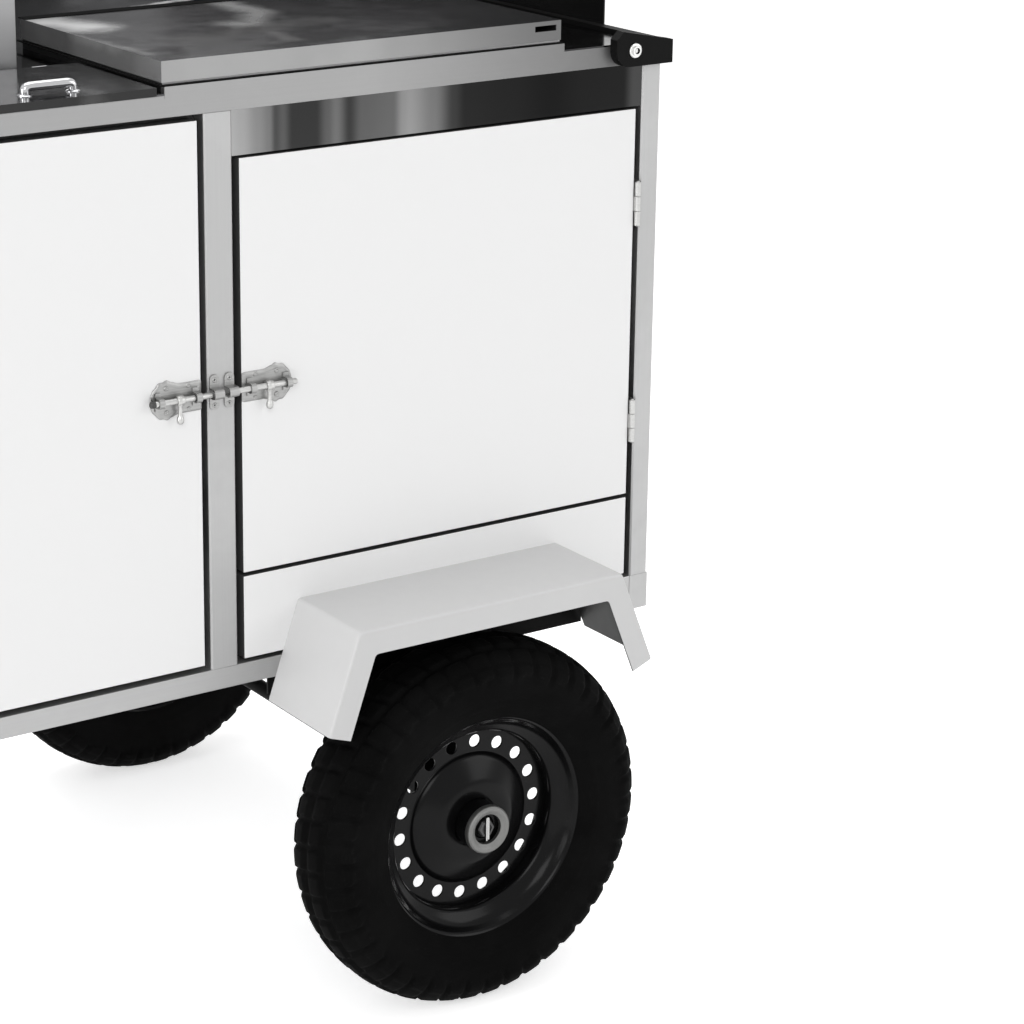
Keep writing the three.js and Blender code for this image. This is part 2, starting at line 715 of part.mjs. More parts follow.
function iceBox() {
  const [x0, x1] = [hatchCentre - hatchWidth / 2, hatchCentre + hatchWidth / 2];
  const y0 = frontY + hatchFrontSetback;
  const y1 = y0 + hatchDepth;
  const flangeTop = worktopHeight + sheet;
  const skirtBottom = flangeTop + clearance;
  const axisY = y1 + hatchHingeReach;
  const axisZ = skirtBottom + hatchKnuckleRadius;
  const flange = block(x0 + sheet, x1 - sheet, y0 + sheet, y1 - sheet, worktopHeight, flangeTop);
  const [outer, hollow] = tub(iceWell, worktopHeight - iceWellDepth, flangeTop);
  const hinges = lidHinges(
    { back: y1 - 2 * sheet, top: flangeTop },
    { x0, x1, back: y1 - sheet, shares: hatchHingeShares },
    hatchHingeLength, hatchKnuckleRadius, axisY, axisZ,
  );
  add("ice_well", join(flange, outer, ...hinges.fixed).subtract(hollow), "satin_steel");

  const shell = block(x0, x1, y0, y1, skirtBottom, skirtBottom + hatchHeight);
  const inside = block(
    x0 + sheet, x1 - sheet, y0 + sheet, y1 - sheet,
    skirtBottom - overrun, skirtBottom + hatchHeight - sheet,
  );
  let hatch = join(shell.subtract(inside), ...hinges.moving);
  for (const bore of hinges.bores) hatch = hatch.subtract(bore);
  add("ice_hatch", hatch, "mirror_steel");

  const base = skirtBottom + hatchHeight;
  const [a, b] = [hatchCentre - pullSpan / 2, hatchCentre + pullSpan / 2];
  const crown = base + pullRise;
  const rise = bentPath([[a, base], [a, crown], [b, crown], [b, base]], pullRise - pullRadius / 2);
  const path = rise.map(([x, z]) => new THREE.Vector3(x, y0 + pullSetback, z));
  add("hatch_pull", tubeAlong(path, pullRadius, new THREE.Vector3(0, 1, 0)), "chrome");
}

// A path with a bend of the same size at each of its inner corners
function bentPath(corners, bend) {
  const points = corners.map(([x, y]) => new THREE.Vector2(x, y));
  const path = [points[0]];
  for (let i = 1; i < points.length - 1; i += 1) {
    const toward = (p) => points[i].clone().add(p.clone().sub(points[i]).setLength(bend));
    const curve = new THREE.QuadraticBezierCurve(toward(points[i - 1]), points[i], toward(points[i + 1]));
    path.push(...curve.getPoints(bendSteps));
  }
  path.push(points[points.length - 1]);
  return path.map((p) => [p.x, p.y]);
}

// A round tube along points that lie in one plane: a ring of corners at each point, closed at both ends
function tubeAlong(points, radius, normal) {
  const corners = [];
  points.forEach((p, i) => {
    const before = points[Math.max(i - 1, 0)];
    const after = points[Math.min(i + 1, points.length - 1)];
    const aside = after.clone().sub(before).normalize().cross(normal);
    for (let j = 0; j < tubeFacets; j += 1) {
      const angle = 2 * Math.PI * j / tubeFacets;
      const corner = p.clone().addScaledVector(aside, radius * Math.cos(angle));
      corners.push(corner.addScaledVector(normal, radius * Math.sin(angle)));
    }
  });
  const last = (points.length - 1) * tubeFacets;
  const index = [];
  for (let start = 0; start < last; start += tubeFacets) {
    for (let j = 0; j < tubeFacets; j += 1) {
      const [a, b] = [start + j, start + (j + 1) % tubeFacets];
      index.push(a, b, a + tubeFacets, b, b + tubeFacets, a + tubeFacets);
    }
  }
  for (let j = 1; j < tubeFacets - 1; j += 1) index.push(0, j + 1, j, last, last + j, last + j + 1);
  const geometry = new THREE.BufferGeometry().setFromPoints(corners);
  geometry.setIndex(index);
  return solidOf(geometry);
}

// Condiment box at the back left: an open bin with a turned-in rim
function condimentBox() {
  const [y0, y1] = [frontY + boxFrontSetback, -frontY - boxBackSetback];
  const top = worktopHeight + boxHeight;
  const body = block(boxLeft, boxRight, y0, y1, worktopHeight, top);
  const inset = (by, low, high) => block(boxLeft + by, boxRight - by, y0 + by, y1 - by, low, high);
  const hollow = inset(sheet, worktopHeight + sheet, top - sheet);
  const mouth = inset(boxRim, top - sheet - overrun, top + overrun);
  add("condiment_box", body.subtract(hollow).subtract(mouth), "satin_steel");
}

// Wind guard: a mirror sheet along the back and a black wing on a rail at the right end
function windGuard() {
  const y = -frontY - guardSetback;
  const top = worktopHeight + guardHeight;
  const back = pull(
    shapeOf([
      [y, worktopHeight], [y + guardFoot, worktopHeight], [y + guardFoot, worktopHeight + sheet],
      [y + sheet, worktopHeight + sheet], [y + sheet, top], [y, top],
    ]),
    -endX + guardFoot / 2, endX - guardFoot / 2, "x",
  );
  add("guard_rear", back, "mirror_steel");
  const wingX = endX - wingPlace;
  const railTop = worktopHeight + guardRailHeight;
  const wing = block(wingX - sheet, wingX, frontY + wingSetback, y - clearance, railTop, top);
  add("guard_wing", wing, "black_gloss");

  const [left, right] = [endX + bracketReach - bracketLength, endX + bracketReach];
  const low = profileBottom;
  const [boltX, boltZ] = [endX - bracketBoltPlace, low + bracketNose];
  const face = new THREE.Shape();
  face.moveTo(right, low);
  face.lineTo(right, low + bracketLowHeight);
  face.lineTo(left + bracketNose / 2, low + bracketHighHeight);
  face.lineTo(left, low + bracketHighHeight - bracketNose / 2);
  face.lineTo(left, low + bracketNose);
  face.absarc(left + bracketNose, low + bracketNose, bracketNose, Math.PI, Math.PI * 3 / 2);
  const plate = pull(face, frontY - bracketThickness, frontY, "y");
  const railInner = wingX - guardRailWidth;
  const tongue = block(
    railInner, wingX, frontY - bracketThickness / 2, frontY + bracketTongue, worktopHeight, railTop,
  );
  const rail = block(railInner, wingX, frontY, y - clearance, worktopHeight, railTop);
  const front = frontY - bracketThickness;
  const onBolt = (v) => [boltX, v, boltZ];
  const head = bar(bracketBoltRadius, onBolt(front - bracketBoltHead), onBolt(front + overrun), hubFacets);
  const [mouth, floor] = [front - 2 * bracketBoltHead, front - bracketBoltHead / 2];
  const socket = bar(bracketBoltRadius / 2, onBolt(mouth), onBolt(floor), hexagon);
  add("guard_rail", join(plate, tongue, rail, head).subtract(socket), "black_paint");
}

// Mudguard: a bent strip over the wheel with a lip turned down along its outer edge
function mudguardOutline(inset) {
  const points = [
    [mudguardLeft - mudguardLeftSpread, frameClearance - mudguardLeftFoot],
    [mudguardLeft, mudguardTop],
    [mudguardRight, mudguardTop],
    [mudguardRight + mudguardRightSpread, frameClearance - mudguardRightFoot],
  ].map(([x, z]) => new THREE.Vector2(x, z));
  const unit = (a, b) => b.clone().sub(a).normalize();
  const offset = points.map((p, i) => {
    const before = i ? unit(points[i - 1], p) : unit(p, points[i + 1]);
    const after = i < points.length - 1 ? unit(p, points[i + 1]) : before;
    const normal = before.clone().add(after).normalize();
    normal.set(normal.y, -normal.x);
    const square = new THREE.Vector2(before.y, -before.x);
    return p.clone().addScaledVector(normal, inset / Math.abs(normal.dot(square)));
  });
  const rounded = [offset[0]];
  for (const i of [1, 2]) {
    const [a, p, b] = [offset[i - 1], offset[i], offset[i + 1]];
    const start = p.clone().addScaledVector(unit(p, a), mudguardBend);
    const end = p.clone().addScaledVector(unit(p, b), mudguardBend);
    rounded.push(...new THREE.QuadraticBezierCurve(start, p, end).getPoints(bendSteps));
  }
  rounded.push(offset[3]);
  return rounded;
}

function mudguard(name, side) {
  const outer = mudguardOutline(0);
  const strip = (inset) => new THREE.Shape([...outer, ...mudguardOutline(inset).reverse()]);
  const back = side * bodyDepth / 2;
  const front = back + side * mudguardWidth;
  const skin = pull(strip(mudguardSheet), back, front, "y");
  const lip = pull(strip(mudguardLip), front - side * mudguardSheet, front, "y");
  add(name, join(skin, lip), "grey_enamel");
}

// Wheel: tyre, pressed rim with a ring of holes, and hub; side is -1 at the front
function wheel(sideName, side) {
  const plane = side * (bodyDepth / 2 + wheelTrackOut);
  const out = (v) => plane + side * v;
  const half = tyreWidth / 2;
  const bead = tyreBead / 2;
  const seat = rimSeatRadius + clearance;
  const shoulder = shoulderWidth / 2;
  const wall = (tyreRadius + rimFlangeRadius) / 2;
  const halfProfile = [
    [tyreRadius, crownWidth / 2],
    [tyreRadius - treadCrown / 2, (shoulder + crownWidth / 2) / 2],
    [tyreRadius - 2 * treadCrown, shoulder],
    [tyreRadius - 4 * treadCrown, half - treadCrown / 2],
    [wall, half],
    [rimFlangeRadius + 2 * treadCrown, half - treadCrown],
    [rimFlangeRadius + clearance, bead],
    [seat, bead - rimLip],
  ];
  const tyreProfile = [
    ...halfProfile.map(([r, y]) => [r, out(y)]),
    ...[...halfProfile].reverse().map(([r, y]) => [r, out(-y)]),
  ];
  add(`tyre_${sideName}`, turned(tyreProfile, wheelPlace, tyreRadius, wheelFacets), "tyre_rubber");

  const edge = bead - rimLip + clearance;
  const flange = bead + clearance;
  const skin = rimSheet / 2;
  const barrel = [
    [rimFlangeRadius, flange + rimSheet], [rimFlangeRadius, flange], [rimSeatRadius, edge],
    [rimSeatRadius, bead / 2], [rimWellRadius + rimSheet, bead / 3],
    [rimWellRadius + rimSheet, -bead / 3], [rimSeatRadius, -bead / 2],
    [rimSeatRadius, -edge], [rimFlangeRadius, -flange], [rimFlangeRadius, -flange - rimSheet],
    [rimSeatRadius - rimSheet, -edge - rimSheet], [rimSeatRadius - rimSheet, -bead / 2 - skin],
    [rimWellRadius, -bead / 3 - skin], [rimWellRadius, -skin],
    [discBandRadius, -skin],
    [discStepRadius, discDish - skin], [axleRadius + clearance, discDish - skin],
    [axleRadius + clearance, discDish + skin], [discStepRadius + rimSheet, discDish + skin],
    [discBandRadius + rimSheet, skin], [rimWellRadius, skin],
    [rimWellRadius, bead / 3 + skin], [rimSeatRadius - rimSheet, bead / 2 + skin],
    [rimSeatRadius - rimSheet, edge + rimSheet],
  ].map(([r, y]) => [r, out(y)]);
  const shell = turned(barrel, wheelPlace, tyreRadius, wheelFacets);
  const onAxle = (v, rise = 0) => [wheelPlace, out(v), tyreRadius + rise];
  const onCircle = (radius, angle, v) =>
    [wheelPlace + radius * Math.cos(angle), out(v), tyreRadius + radius * Math.sin(angle)];
  const drills = [bar(hubRadius + clearance, onAxle(-half), onAxle(half), hubFacets)];
  for (let i = 0; i < discHoles; i += 1) {
    const angle = discHoleStart + 2 * Math.PI * i / discHoles;
    const [from, to] = [-bead / 2, bead / 2].map((v) => onCircle(discRingRadius, angle, v));
    drills.push(bar(discHoleRadius, from, to, holeFacets));
  }
  const rim = drills.reduce((a, b) => a.subtract(b), shell);
  add(`rim_${sideName}`, rim, "black_gloss");

  const flangeBack = discDish - rimSheet / 2 - clearance - hubFlangeThickness;
  const bore = axleRadius + clearance;
  const hubProfile = [
    [bore, hubOut - hubRecessDepth], [hubRecessRadius, hubOut - hubRecessDepth], [hubRecessRadius, hubOut],
    [hubRadius, hubOut], [hubRadius, flangeBack + hubFlangeThickness],
    [hubFlangeRadius, flangeBack + hubFlangeThickness], [hubFlangeRadius, flangeBack],
    [hubRadius, flangeBack], [hubRadius, -hubIn], [bore, -hubIn],
  ].map(([r, y]) => [r, out(y)]);
  const hub = turned(hubProfile, wheelPlace, tyreRadius, hubFacets);
  const bolts = [];
  for (let i = 0; i < hubBolts; i += 1) {
    const angle = 2 * Math.PI * (i + 1 / 2) / hubBolts;
    const ends = [flangeBack - hubBoltHead, flangeBack + overrun];
    const [from, to] = ends.map((v) => onCircle(hubBoltCircle, angle, v));
    bolts.push(bar(hubBoltRadius, from, to, hexagon));
  }
  add(`hub_${sideName}`, join(hub, ...bolts), "zinc");

  const nutStart = hubOut - hubRecessDepth + clearance;
  const nutEnd = nutStart + axleNutLength;
  const nut = bar(axleNutRadius, onAxle(nutStart), onAxle(nutEnd), hexagon);
  const reach = hubRecessRadius - 2 * splitPinRadius;
  const pin = bar(splitPinRadius, onAxle(nutEnd, -reach), onAxle(nutEnd, reach));
  add(`axle_nut_${sideName}`, join(nut, pin), "zinc");
}

// Axle: a square beam with turned ends, welded to two hangers under the frame
function axle() {
  const half = axleBeam / 2;
  const beamEnd = bodyDepth / 2 - axleBeamInset;
  const [low, high] = [tyreRadius - half, tyreRadius + half];
  const beam = block(wheelPlace - half, wheelPlace + half, -beamEnd, beamEnd, low, high);
  const end = bodyDepth / 2 + wheelTrackOut + hubOut - hubRecessDepth;
  const shaft = bar(axleRadius, [wheelPlace, -end, tyreRadius], [wheelPlace, end, tyreRadius], hubFacets);
  const outline = shapeOf([
    [wheelPlace - hangerTopWidth / 2, frameClearance],
    [wheelPlace - hangerFootWidth / 2, low - hangerFootDrop],
    [wheelPlace + hangerFootWidth / 2, low - hangerFootDrop],
    [wheelPlace + hangerTopWidth / 2, frameClearance],
  ]);
  const hangers = [-1, 1].map((side) => {
    const y = side * (bodyDepth / 2 - hangerInset);
    return pull(outline, y, y - side * hangerThickness, "y");
  });
  add("axle", join(beam, shaft, ...hangers), "black_paint");
}

function legs() {
  for (const [sideName, side] of [["front", -1], ["rear", 1]]) {
    const y = side * (bodyDepth / 2 - legSize / 2);
    const tube = uprightTube(legPlace, y, legSize, legSize, legWall, footSole + clearance, frameClearance);
    add(`leg_${sideName}`, tube, "aluminium");
    const [top, base] = [1, 2].map((flares) => (legSize / 2 + flares * footFlare) * Math.SQRT2);
    const cup = new THREE.CylinderGeometry(top, base, footHeight, 4, 1);
    cup.rotateY(Math.PI / 4).rotateX(Math.PI / 2).translate(legPlace, y, footHeight / 2);
    const grip = legSize / 2 + clearance;
    const socket = block(legPlace - grip, legPlace + grip, y - grip, y + grip, footSole, footHeight + overrun);
    add(`foot_${sideName}`, solidOf(cup).subtract(socket), "seal_rubber");
  }
}

function pushHandle() {
  const y = bodyDepth / 2 - postDepth / 2;
  const route = bentPath([[-endX, -y], [-handleEndX, -y], [-handleEndX, y], [-endX, y]], handleBend);
  const path = route.map(([x, v]) => new THREE.Vector3(x, v, handleLevel));
  add("push_handle", tubeAlong(path, handleRadius, new THREE.Vector3(0, 0, 1)), "aluminium");
  const half = gripLength / 2;
  const along = (radius, reach) =>
    bar(radius, [-handleEndX, -reach, handleLevel], [-handleEndX, reach, handleLevel], 2 * tubeFacets);
  const grip = along(handleRadius + gripWall, half).subtract(along(handleRadius + clearance, gripLength));
  add("handle_grip", grip, "seal_rubber");
}

bottomFrame();
posts();
worktop();
cabinetPanels();
doors();
barrelBolt("right", 1);
barrelBolt("left", -1);
hotBox();
iceBox();
condimentBox();
windGuard();
mudguard("mudguard_front", -1);
mudguard("mudguard_rear", 1);
wheel("front", -1);
wheel("rear", 1);
axle();
legs();
pushHandle();

// The origin is on the floor, at the middle of the overall length and depth.
const reachLeft = handleEndX + handleRadius + gripWall;
const reachRight = endX + bracketReach;
cart.position.x = (reachLeft - reachRight) / 2;

export default cart;
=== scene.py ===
import math

import bmesh
import bpy
import numpy as np
from mathutils import Matrix, Vector


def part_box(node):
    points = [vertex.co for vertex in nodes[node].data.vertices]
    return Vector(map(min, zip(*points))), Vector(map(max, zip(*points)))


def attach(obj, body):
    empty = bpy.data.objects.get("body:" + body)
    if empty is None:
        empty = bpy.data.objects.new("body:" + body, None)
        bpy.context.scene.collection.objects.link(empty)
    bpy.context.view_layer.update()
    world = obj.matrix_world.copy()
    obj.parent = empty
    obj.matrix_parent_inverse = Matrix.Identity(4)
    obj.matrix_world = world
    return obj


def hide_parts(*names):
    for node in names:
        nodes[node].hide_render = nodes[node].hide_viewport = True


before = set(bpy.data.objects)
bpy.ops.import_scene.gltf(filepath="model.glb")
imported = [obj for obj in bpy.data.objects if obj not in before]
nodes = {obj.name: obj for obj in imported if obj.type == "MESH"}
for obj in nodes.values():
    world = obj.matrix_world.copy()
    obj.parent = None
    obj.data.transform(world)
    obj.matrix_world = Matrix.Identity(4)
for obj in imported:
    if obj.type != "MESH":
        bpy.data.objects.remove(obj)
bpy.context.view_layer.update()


# Camera: the photograph was taken from the front left, a little above the worktop, with a long lens
# that was cropped off its centre.
CAMERA_PLACE = Vector((-1.3169, -2.7792, 1.5252))
CAMERA_YAW = 0.56406
CAMERA_PITCH = -0.28022
CAMERA_ROLL = 0.00049
IMAGE_SIDE = 1024
FOCAL_PIXELS = 2959.1
OPTICAL_CENTRE = (363.80, 384.58)

forward = Vector((
    math.sin(CAMERA_YAW) * math.cos(CAMERA_PITCH),
    math.cos(CAMERA_YAW) * math.cos(CAMERA_PITCH),
    math.sin(CAMERA_PITCH),
))
level_right = Vector((math.cos(CAMERA_YAW), -math.sin(CAMERA_YAW), 0))
level_up = level_right.cross(forward)
image_right = level_right * math.cos(CAMERA_ROLL) + level_up * math.sin(CAMERA_ROLL)
image_up = level_up * math.cos(CAMERA_ROLL) - level_right * math.sin(CAMERA_ROLL)

camera_data = bpy.data.cameras.new("camera")
camera_data.sensor_width = 36
camera_data.lens = camera_data.sensor_width * FOCAL_PIXELS / IMAGE_SIDE
camera_data.shift_x = (IMAGE_SIDE / 2 - OPTICAL_CENTRE[0]) / IMAGE_SIDE
camera_data.shift_y = (OPTICAL_CENTRE[1] - IMAGE_SIDE / 2) / IMAGE_SIDE
camera = bpy.data.objects.new("camera", camera_data)
camera.matrix_world = Matrix.Translation(CAMERA_PLACE) @ Matrix(
    (image_right, image_up, -forward)).transposed().to_4x4()
bpy.context.scene.collection.objects.link(camera)
bpy.context.scene.camera = camera


# Light: five large soft lamps and a white room. The camera, metal and glass see the room at full
# white, and what falls from it on the cart is held down so that pale paint keeps its tone.
ROOM_GLOW = 0.50
LAMPS = (
    # name, place, aimed at, side in metres, watts
    ("key", (-2.6, -4.2, 3.4), (0.0, 0.0, 0.6), 2.6, 84.0),
    ("fill", (3.4, -3.6, 2.2), (0.2, 0.0, 0.5), 2.4, 42.0),
    ("top", (0.3, 0.6, 4.2), (0.0, 0.0, 0.9), 3.0, 80.0),
    ("left", (-4.4, -0.8, 1.6), (0.0, 0.0, 0.5), 1.8, 70.0),
    ("back", (1.2, 4.4, 2.6), (0.0, 0.0, 0.6), 2.6, 40.0),
)

def fill(tree, node, values):
    """Gives a node's sockets, by label or number, a value each, or a link where that is another socket."""
    for label, value in values.items():
        if isinstance(value, bpy.types.NodeSocket):
            tree.links.new(value, node.inputs[label])
        else:
            node.inputs[label].default_value = value
    return node


def add(tree, kind, values, operation=None):
    """A new shader node of a kind, with its sockets filled."""
    node = tree.nodes.new("ShaderNode" + kind)
    if operation:
        node.operation = operation
    return fill(tree, node, values)


for name, place, target, side, watts in LAMPS:
    data = bpy.data.lights.new(name, "AREA")
    data.shape = "SQUARE"
    data.size = side
    data.energy = watts
    lamp = bpy.data.objects.new(name, data)
    lamp.location = place
    lamp.rotation_euler = (Vector(target) - Vector(place)).to_track_quat("-Z", "Y").to_euler()
    lamp.visible_camera = False
    bpy.context.scene.collection.objects.link(lamp)

world = bpy.data.worlds.new("white_room")
bpy.context.scene.world = world
world.use_nodes = True
tree = world.node_tree
tree.nodes.clear()
rays = add(tree, "LightPath", {}).outputs
seen = add(tree, "Math", {0: rays["Is Camera Ray"], 1: rays["Is Glossy Ray"]}, "MAXIMUM")
seen_all = add(tree, "Math", {0: seen.outputs[0], 1: rays["Is Transmission Ray"]}, "MAXIMUM")
strength = add(tree, "MapRange", {"Value": seen_all.outputs[0], "To Min": ROOM_GLOW, "To Max": 1.0})
background = add(tree, "Background", {"Color": (1, 1, 1, 1), "Strength": strength.outputs[0]})
add(tree, "OutputWorld", {"Surface": background.outputs[0]})
bpy.context.scene.view_settings.view_transform = "Standard"


# Floor: one very wide white disc, so that no edge of it shows. It gives back a little light of its own
# to the camera, so that it meets the white of the room.
FLOOR_RADIUS = 60.0
FLOOR_SIDES = 128
FLOOR_WHITE = 0.92
FLOOR_LIFT = 0.55
FLOOR_ROUGHNESS = 0.7
FLOOR_SHINE = 0.1


def new_material(name, values):
    """A material of one Principled shader, its sockets filled: returns it, its node tree and the shader."""
    made = bpy.data.materials.new(name)
    made.use_nodes = True
    tree = made.node_tree
    tree.nodes.clear()
    shader = add(tree, "BsdfPrincipled", values)
    add(tree, "OutputMaterial", {"Surface": shader.outputs["BSDF"]})
    return made, tree, shader


def whole_turn(count):
    """Angles once round in even steps: the number of the step times a full turn over the count."""
    return np.arange(count) * 2 * np.pi / count


angles = whole_turn(FLOOR_SIDES)
rim_points = np.stack([FLOOR_RADIUS * np.cos(angles), FLOOR_RADIUS * np.sin(angles), 0 * angles], 1)
floor_mesh = bpy.data.meshes.new("floor")
floor_mesh.from_pydata(rim_points.tolist(), [], [list(range(FLOOR_SIDES))])
floor = bpy.data.objects.new("floor", floor_mesh)
bpy.context.scene.collection.objects.link(floor)
floor_paint, tree, shader = new_material("floor_white", {
    "Base Color": (FLOOR_WHITE, FLOOR_WHITE, FLOOR_WHITE, 1), "Roughness": FLOOR_ROUGHNESS,
    "Specular IOR Level": FLOOR_SHINE, "Emission Color": (1, 1, 1, 1)})
rays = add(tree, "LightPath", {}).outputs
seen = add(tree, "Math", {0: rays["Is Camera Ray"], 1: rays["Is Glossy Ray"]}, "MAXIMUM")
glow = add(tree, "Math", {0: seen.outputs[0], 1: FLOOR_LIFT}, "MULTIPLY")
fill(tree, shader, {"Emission Strength": glow.outputs[0]})
floor_mesh.materials.append(floor_paint)


# Frame: posts, bottom rails and the worktop's edge are aluminium tube, drawn in long straight lines, broken
# at the corners and welded. The edge profile is darker and duller, and painted shade darkens it further towards
# the right end. The right posts run down past the frame.
ALUMINIUM_TONE = 0.41
EDGE_TONE = 0.31
EDGE_RIGHT_SHADE = 0.42
TUBE_CORNER = 0.0009
POST_DROP = 0.0168
POST_COVER = 0.0004
BRUSH_ALONG = 8.0
BRUSH_ACROSS = 900.0
BRUSH_DEPTH = 0.00004
RIGHT_SHADE_SPAN = (0.25, 0.60)
WELD_REACH = 0.00001


def group_tree(name, inputs, outputs):
    """A shader node group from its inputs' defaults and its outputs' labels: returns it, what it is given and
    its output node. A tuple as a default makes a vector, and only a normal is put out as one."""
    made = bpy.data.node_groups.new(name, "ShaderNodeTree")
    for label, value in inputs.items():
        kind = "NodeSocketVector" if isinstance(value, tuple) else "NodeSocketFloat"
        made.interface.new_socket(label, in_out="INPUT", socket_type=kind).default_value = value
    for label in outputs:
        kind = "NodeSocketVector" if label == "Normal" else "NodeSocketFloat"
        made.interface.new_socket(label, in_out="OUTPUT", socket_type=kind)
    return made, made.nodes.new("NodeGroupInput").outputs, made.nodes.new("NodeGroupOutput")


def grain_group():
    """Brushed metal: noise on Object coordinates squeezed along the brushing, as a mask and as bumps.

    The three stretches multiply x, y and z before the noise is read, so a low one draws the grain out
    that way.
    """
    tree, given, result = group_tree(
        "brushed_grain", {"Across X": 1200.0, "Across Y": 1200.0, "Across Z": 6.0, "Depth": 0.0001},
        ("Grain", "Normal"))
    place = add(tree, "TexCoord", {}).outputs["Object"]
    stretch = add(tree, "CombineXYZ", {axis: given[f"Across {axis}"] for axis in "XYZ"})
    scaled = add(tree, "VectorMath", {0: place, 1: stretch.outputs[0]}, "MULTIPLY")
    noise = add(tree, "TexNoise", {"Vector": scaled.outputs[0], "Scale": 1.0, "Detail": 3.0}).outputs["Fac"]
    bump = add(tree, "Bump", {"Strength": 0.35, "Distance": given["Depth"], "Height": noise})
    fill(tree, result, {"Grain": noise, "Normal": bump.outputs["Normal"]})
    return tree


def smear_group():
    """Handling marks: two noises on Object coordinates, a quarter of the small one added to the large one,
    and the sum drawn out between two limits as a smooth step."""
    tree, given, result = group_tree("smears", {"Size": 5.0, "Low": 0.42, "High": 0.7}, ("Mask",))
    place = add(tree, "TexCoord", {}).outputs["Object"]
    wide = add(tree, "TexNoise", {"Vector": place, "Scale": given["Size"], "Detail": 5.0, "Distortion": 0.6})
    fine = add(tree, "TexNoise", {"Vector": place, "Scale": 60.0, "Detail": 4.0})
    both = add(tree, "Math", {0: fine.outputs["Fac"], 1: 0.25, 2: wide.outputs["Fac"]}, "MULTIPLY_ADD")
    clip = add(tree, "MapRange", {
        "Value": both.outputs[0], "From Min": given["Low"], "From Max": given["High"]})
    clip.interpolation_type = "SMOOTHSTEP"
    fill(tree, result, {"Mask": clip.outputs["Result"]})
    return tree


def right_shade_group():
    """Painted shade along the cart: a share of one at the left of its span, a lower share at the right of it.
    """
    tree, given, result = group_tree("paint_right_shade", {"Low": 0.5}, ("Share",))
    axes = add(tree, "SeparateXYZ", {0: add(tree, "TexCoord", {}).outputs["Object"]})
    share = add(tree, "MapRange", {
        "Value": axes.outputs["X"], "From Min": RIGHT_SHADE_SPAN[0], "From Max": RIGHT_SHADE_SPAN[1], "To Min": 1.0,
        "To Max": given["Low"]})
    fill(tree, result, {"Share": share.outputs["Result"]})
    return tree


GRAIN = grain_group()
SMEARS = smear_group()
RIGHT_SHADE = right_shade_group()


def use_group(tree, group, values):
    """Places a node group in a material with its own values, and returns what it puts out."""
    node = tree.nodes.new("ShaderNodeGroup")
    node.node_tree = group
    return fill(tree, node, values).outputs


def mix_colours(tree, share, under, over, blend="MIX"):
    """One colour laid over another by a share."""
    node = tree.nodes.new("ShaderNodeMix")
    node.data_type = "RGBA"
    node.blend_type = blend
    return fill(tree, node, {0: share, 6: under, 7: over}).outputs[2]


def spread(tree, mask, low, high, target):
    """Feeds a mask to a socket, drawn out between two values or two colours."""
    if isinstance(low, tuple):
        result = mix_colours(tree, mask, (*low, 1), (*high, 1))
    else:
        result = add(tree, "MapRange", {"Value": mask, "To Min": low, "To Max": high}).outputs["Result"]
    tree.links.new(result, target)


def brushed_metal(name, tone, roughness, along, smear=0.06):
    """Metal with a drawn grain along one axis, duller where it has been handled."""
    made, tree, shader = new_material(name, {"Metallic": 1.0})
    stretch = {f"Across {axis}": BRUSH_ALONG if axis.lower() == along else BRUSH_ACROSS for axis in "XYZ"}
    grain = use_group(tree, GRAIN, {"Depth": BRUSH_DEPTH, **stretch})
    handled = use_group(tree, SMEARS, {"Size": 4.0})["Mask"]
    spread(tree, grain["Grain"], tuple(c * (1 - smear) for c in tone), tone, shader.inputs["Base Color"])
    spread(tree, handled, roughness, min(1.0, roughness * 1.35), shader.inputs["Roughness"])
    fill(tree, shader, {"Normal": grain["Normal"]})
    return made


def principled(made):
    """The Principled shader of a material."""
    return next(node for node in made.node_tree.nodes if node.type == "BSDF_PRINCIPLED")


def paint_right_shade(made, low):
    """Paints shade on a material: its base colour darkens towards the right end of the cart."""
    tree, socket = made.node_tree, principled(made).inputs["Base Color"]
    share = use_group(tree, RIGHT_SHADE, {"Low": low})["Share"]
    tree.links.new(mix_colours(tree, 1.0, socket.links[0].from_socket, share, "MULTIPLY"), socket)


def paint(made, *names):
    """Gives CAD nodes a material in place of their own."""
    for name in names:
        nodes[name].data.materials.clear()
        nodes[name].data.materials.append(made)


def soften(width, *names, segments=2):
    """Rounds a CAD node's edges: loose triangles are welded, flat neighbours joined, then edges bevelled."""
    for name in names:
        piece = nodes[name]
        weld = piece.modifiers.new("weld", "WELD")
        weld.merge_threshold = WELD_REACH
        flat = piece.modifiers.new("flat", "DECIMATE")
        flat.decimate_type = "DISSOLVE"
        flat.angle_limit = math.radians(0.5)
        bevel_edges(piece, width, 40, segments)
        piece.modifiers["edge"].use_clamp_overlap = True


def bevel_edges(piece, width, angle, segments=2):
    """Rounds each edge of a piece that is bent by more than an angle in degrees."""
    bevel = piece.modifiers.new("edge", "BEVEL")
    bevel.width = width
    bevel.segments = segments
    bevel.limit_method = "ANGLE"
    bevel.angle_limit = math.radians(angle)


def grid_faces(rows, columns, close_rows=False, close_columns=False):
    """Corner numbers of the four-sided faces between neighbouring rows and columns of a grid of points."""
    row, column = np.meshgrid(np.arange(rows - (not close_rows)), np.arange(columns - (not close_columns)),
                              indexing="ij")
    row, column = row.ravel(), column.ravel()
    next_row, next_column = (row + 1) % rows, (column + 1) % columns
    return np.stack([row * columns + column, next_row * columns + column,
                     next_row * columns + next_column, row * columns + next_column], 1).tolist()


def loops(points):
    """Closed loops in a row: the sides between neighbouring loops, and a flat end on the first and last."""
    rows, columns = points.shape[:2]
    last = (rows - 1) * columns
    ends = [list(range(columns)), list(range(last, last + columns))]
    return points, grid_faces(rows, columns, close_columns=True) + ends


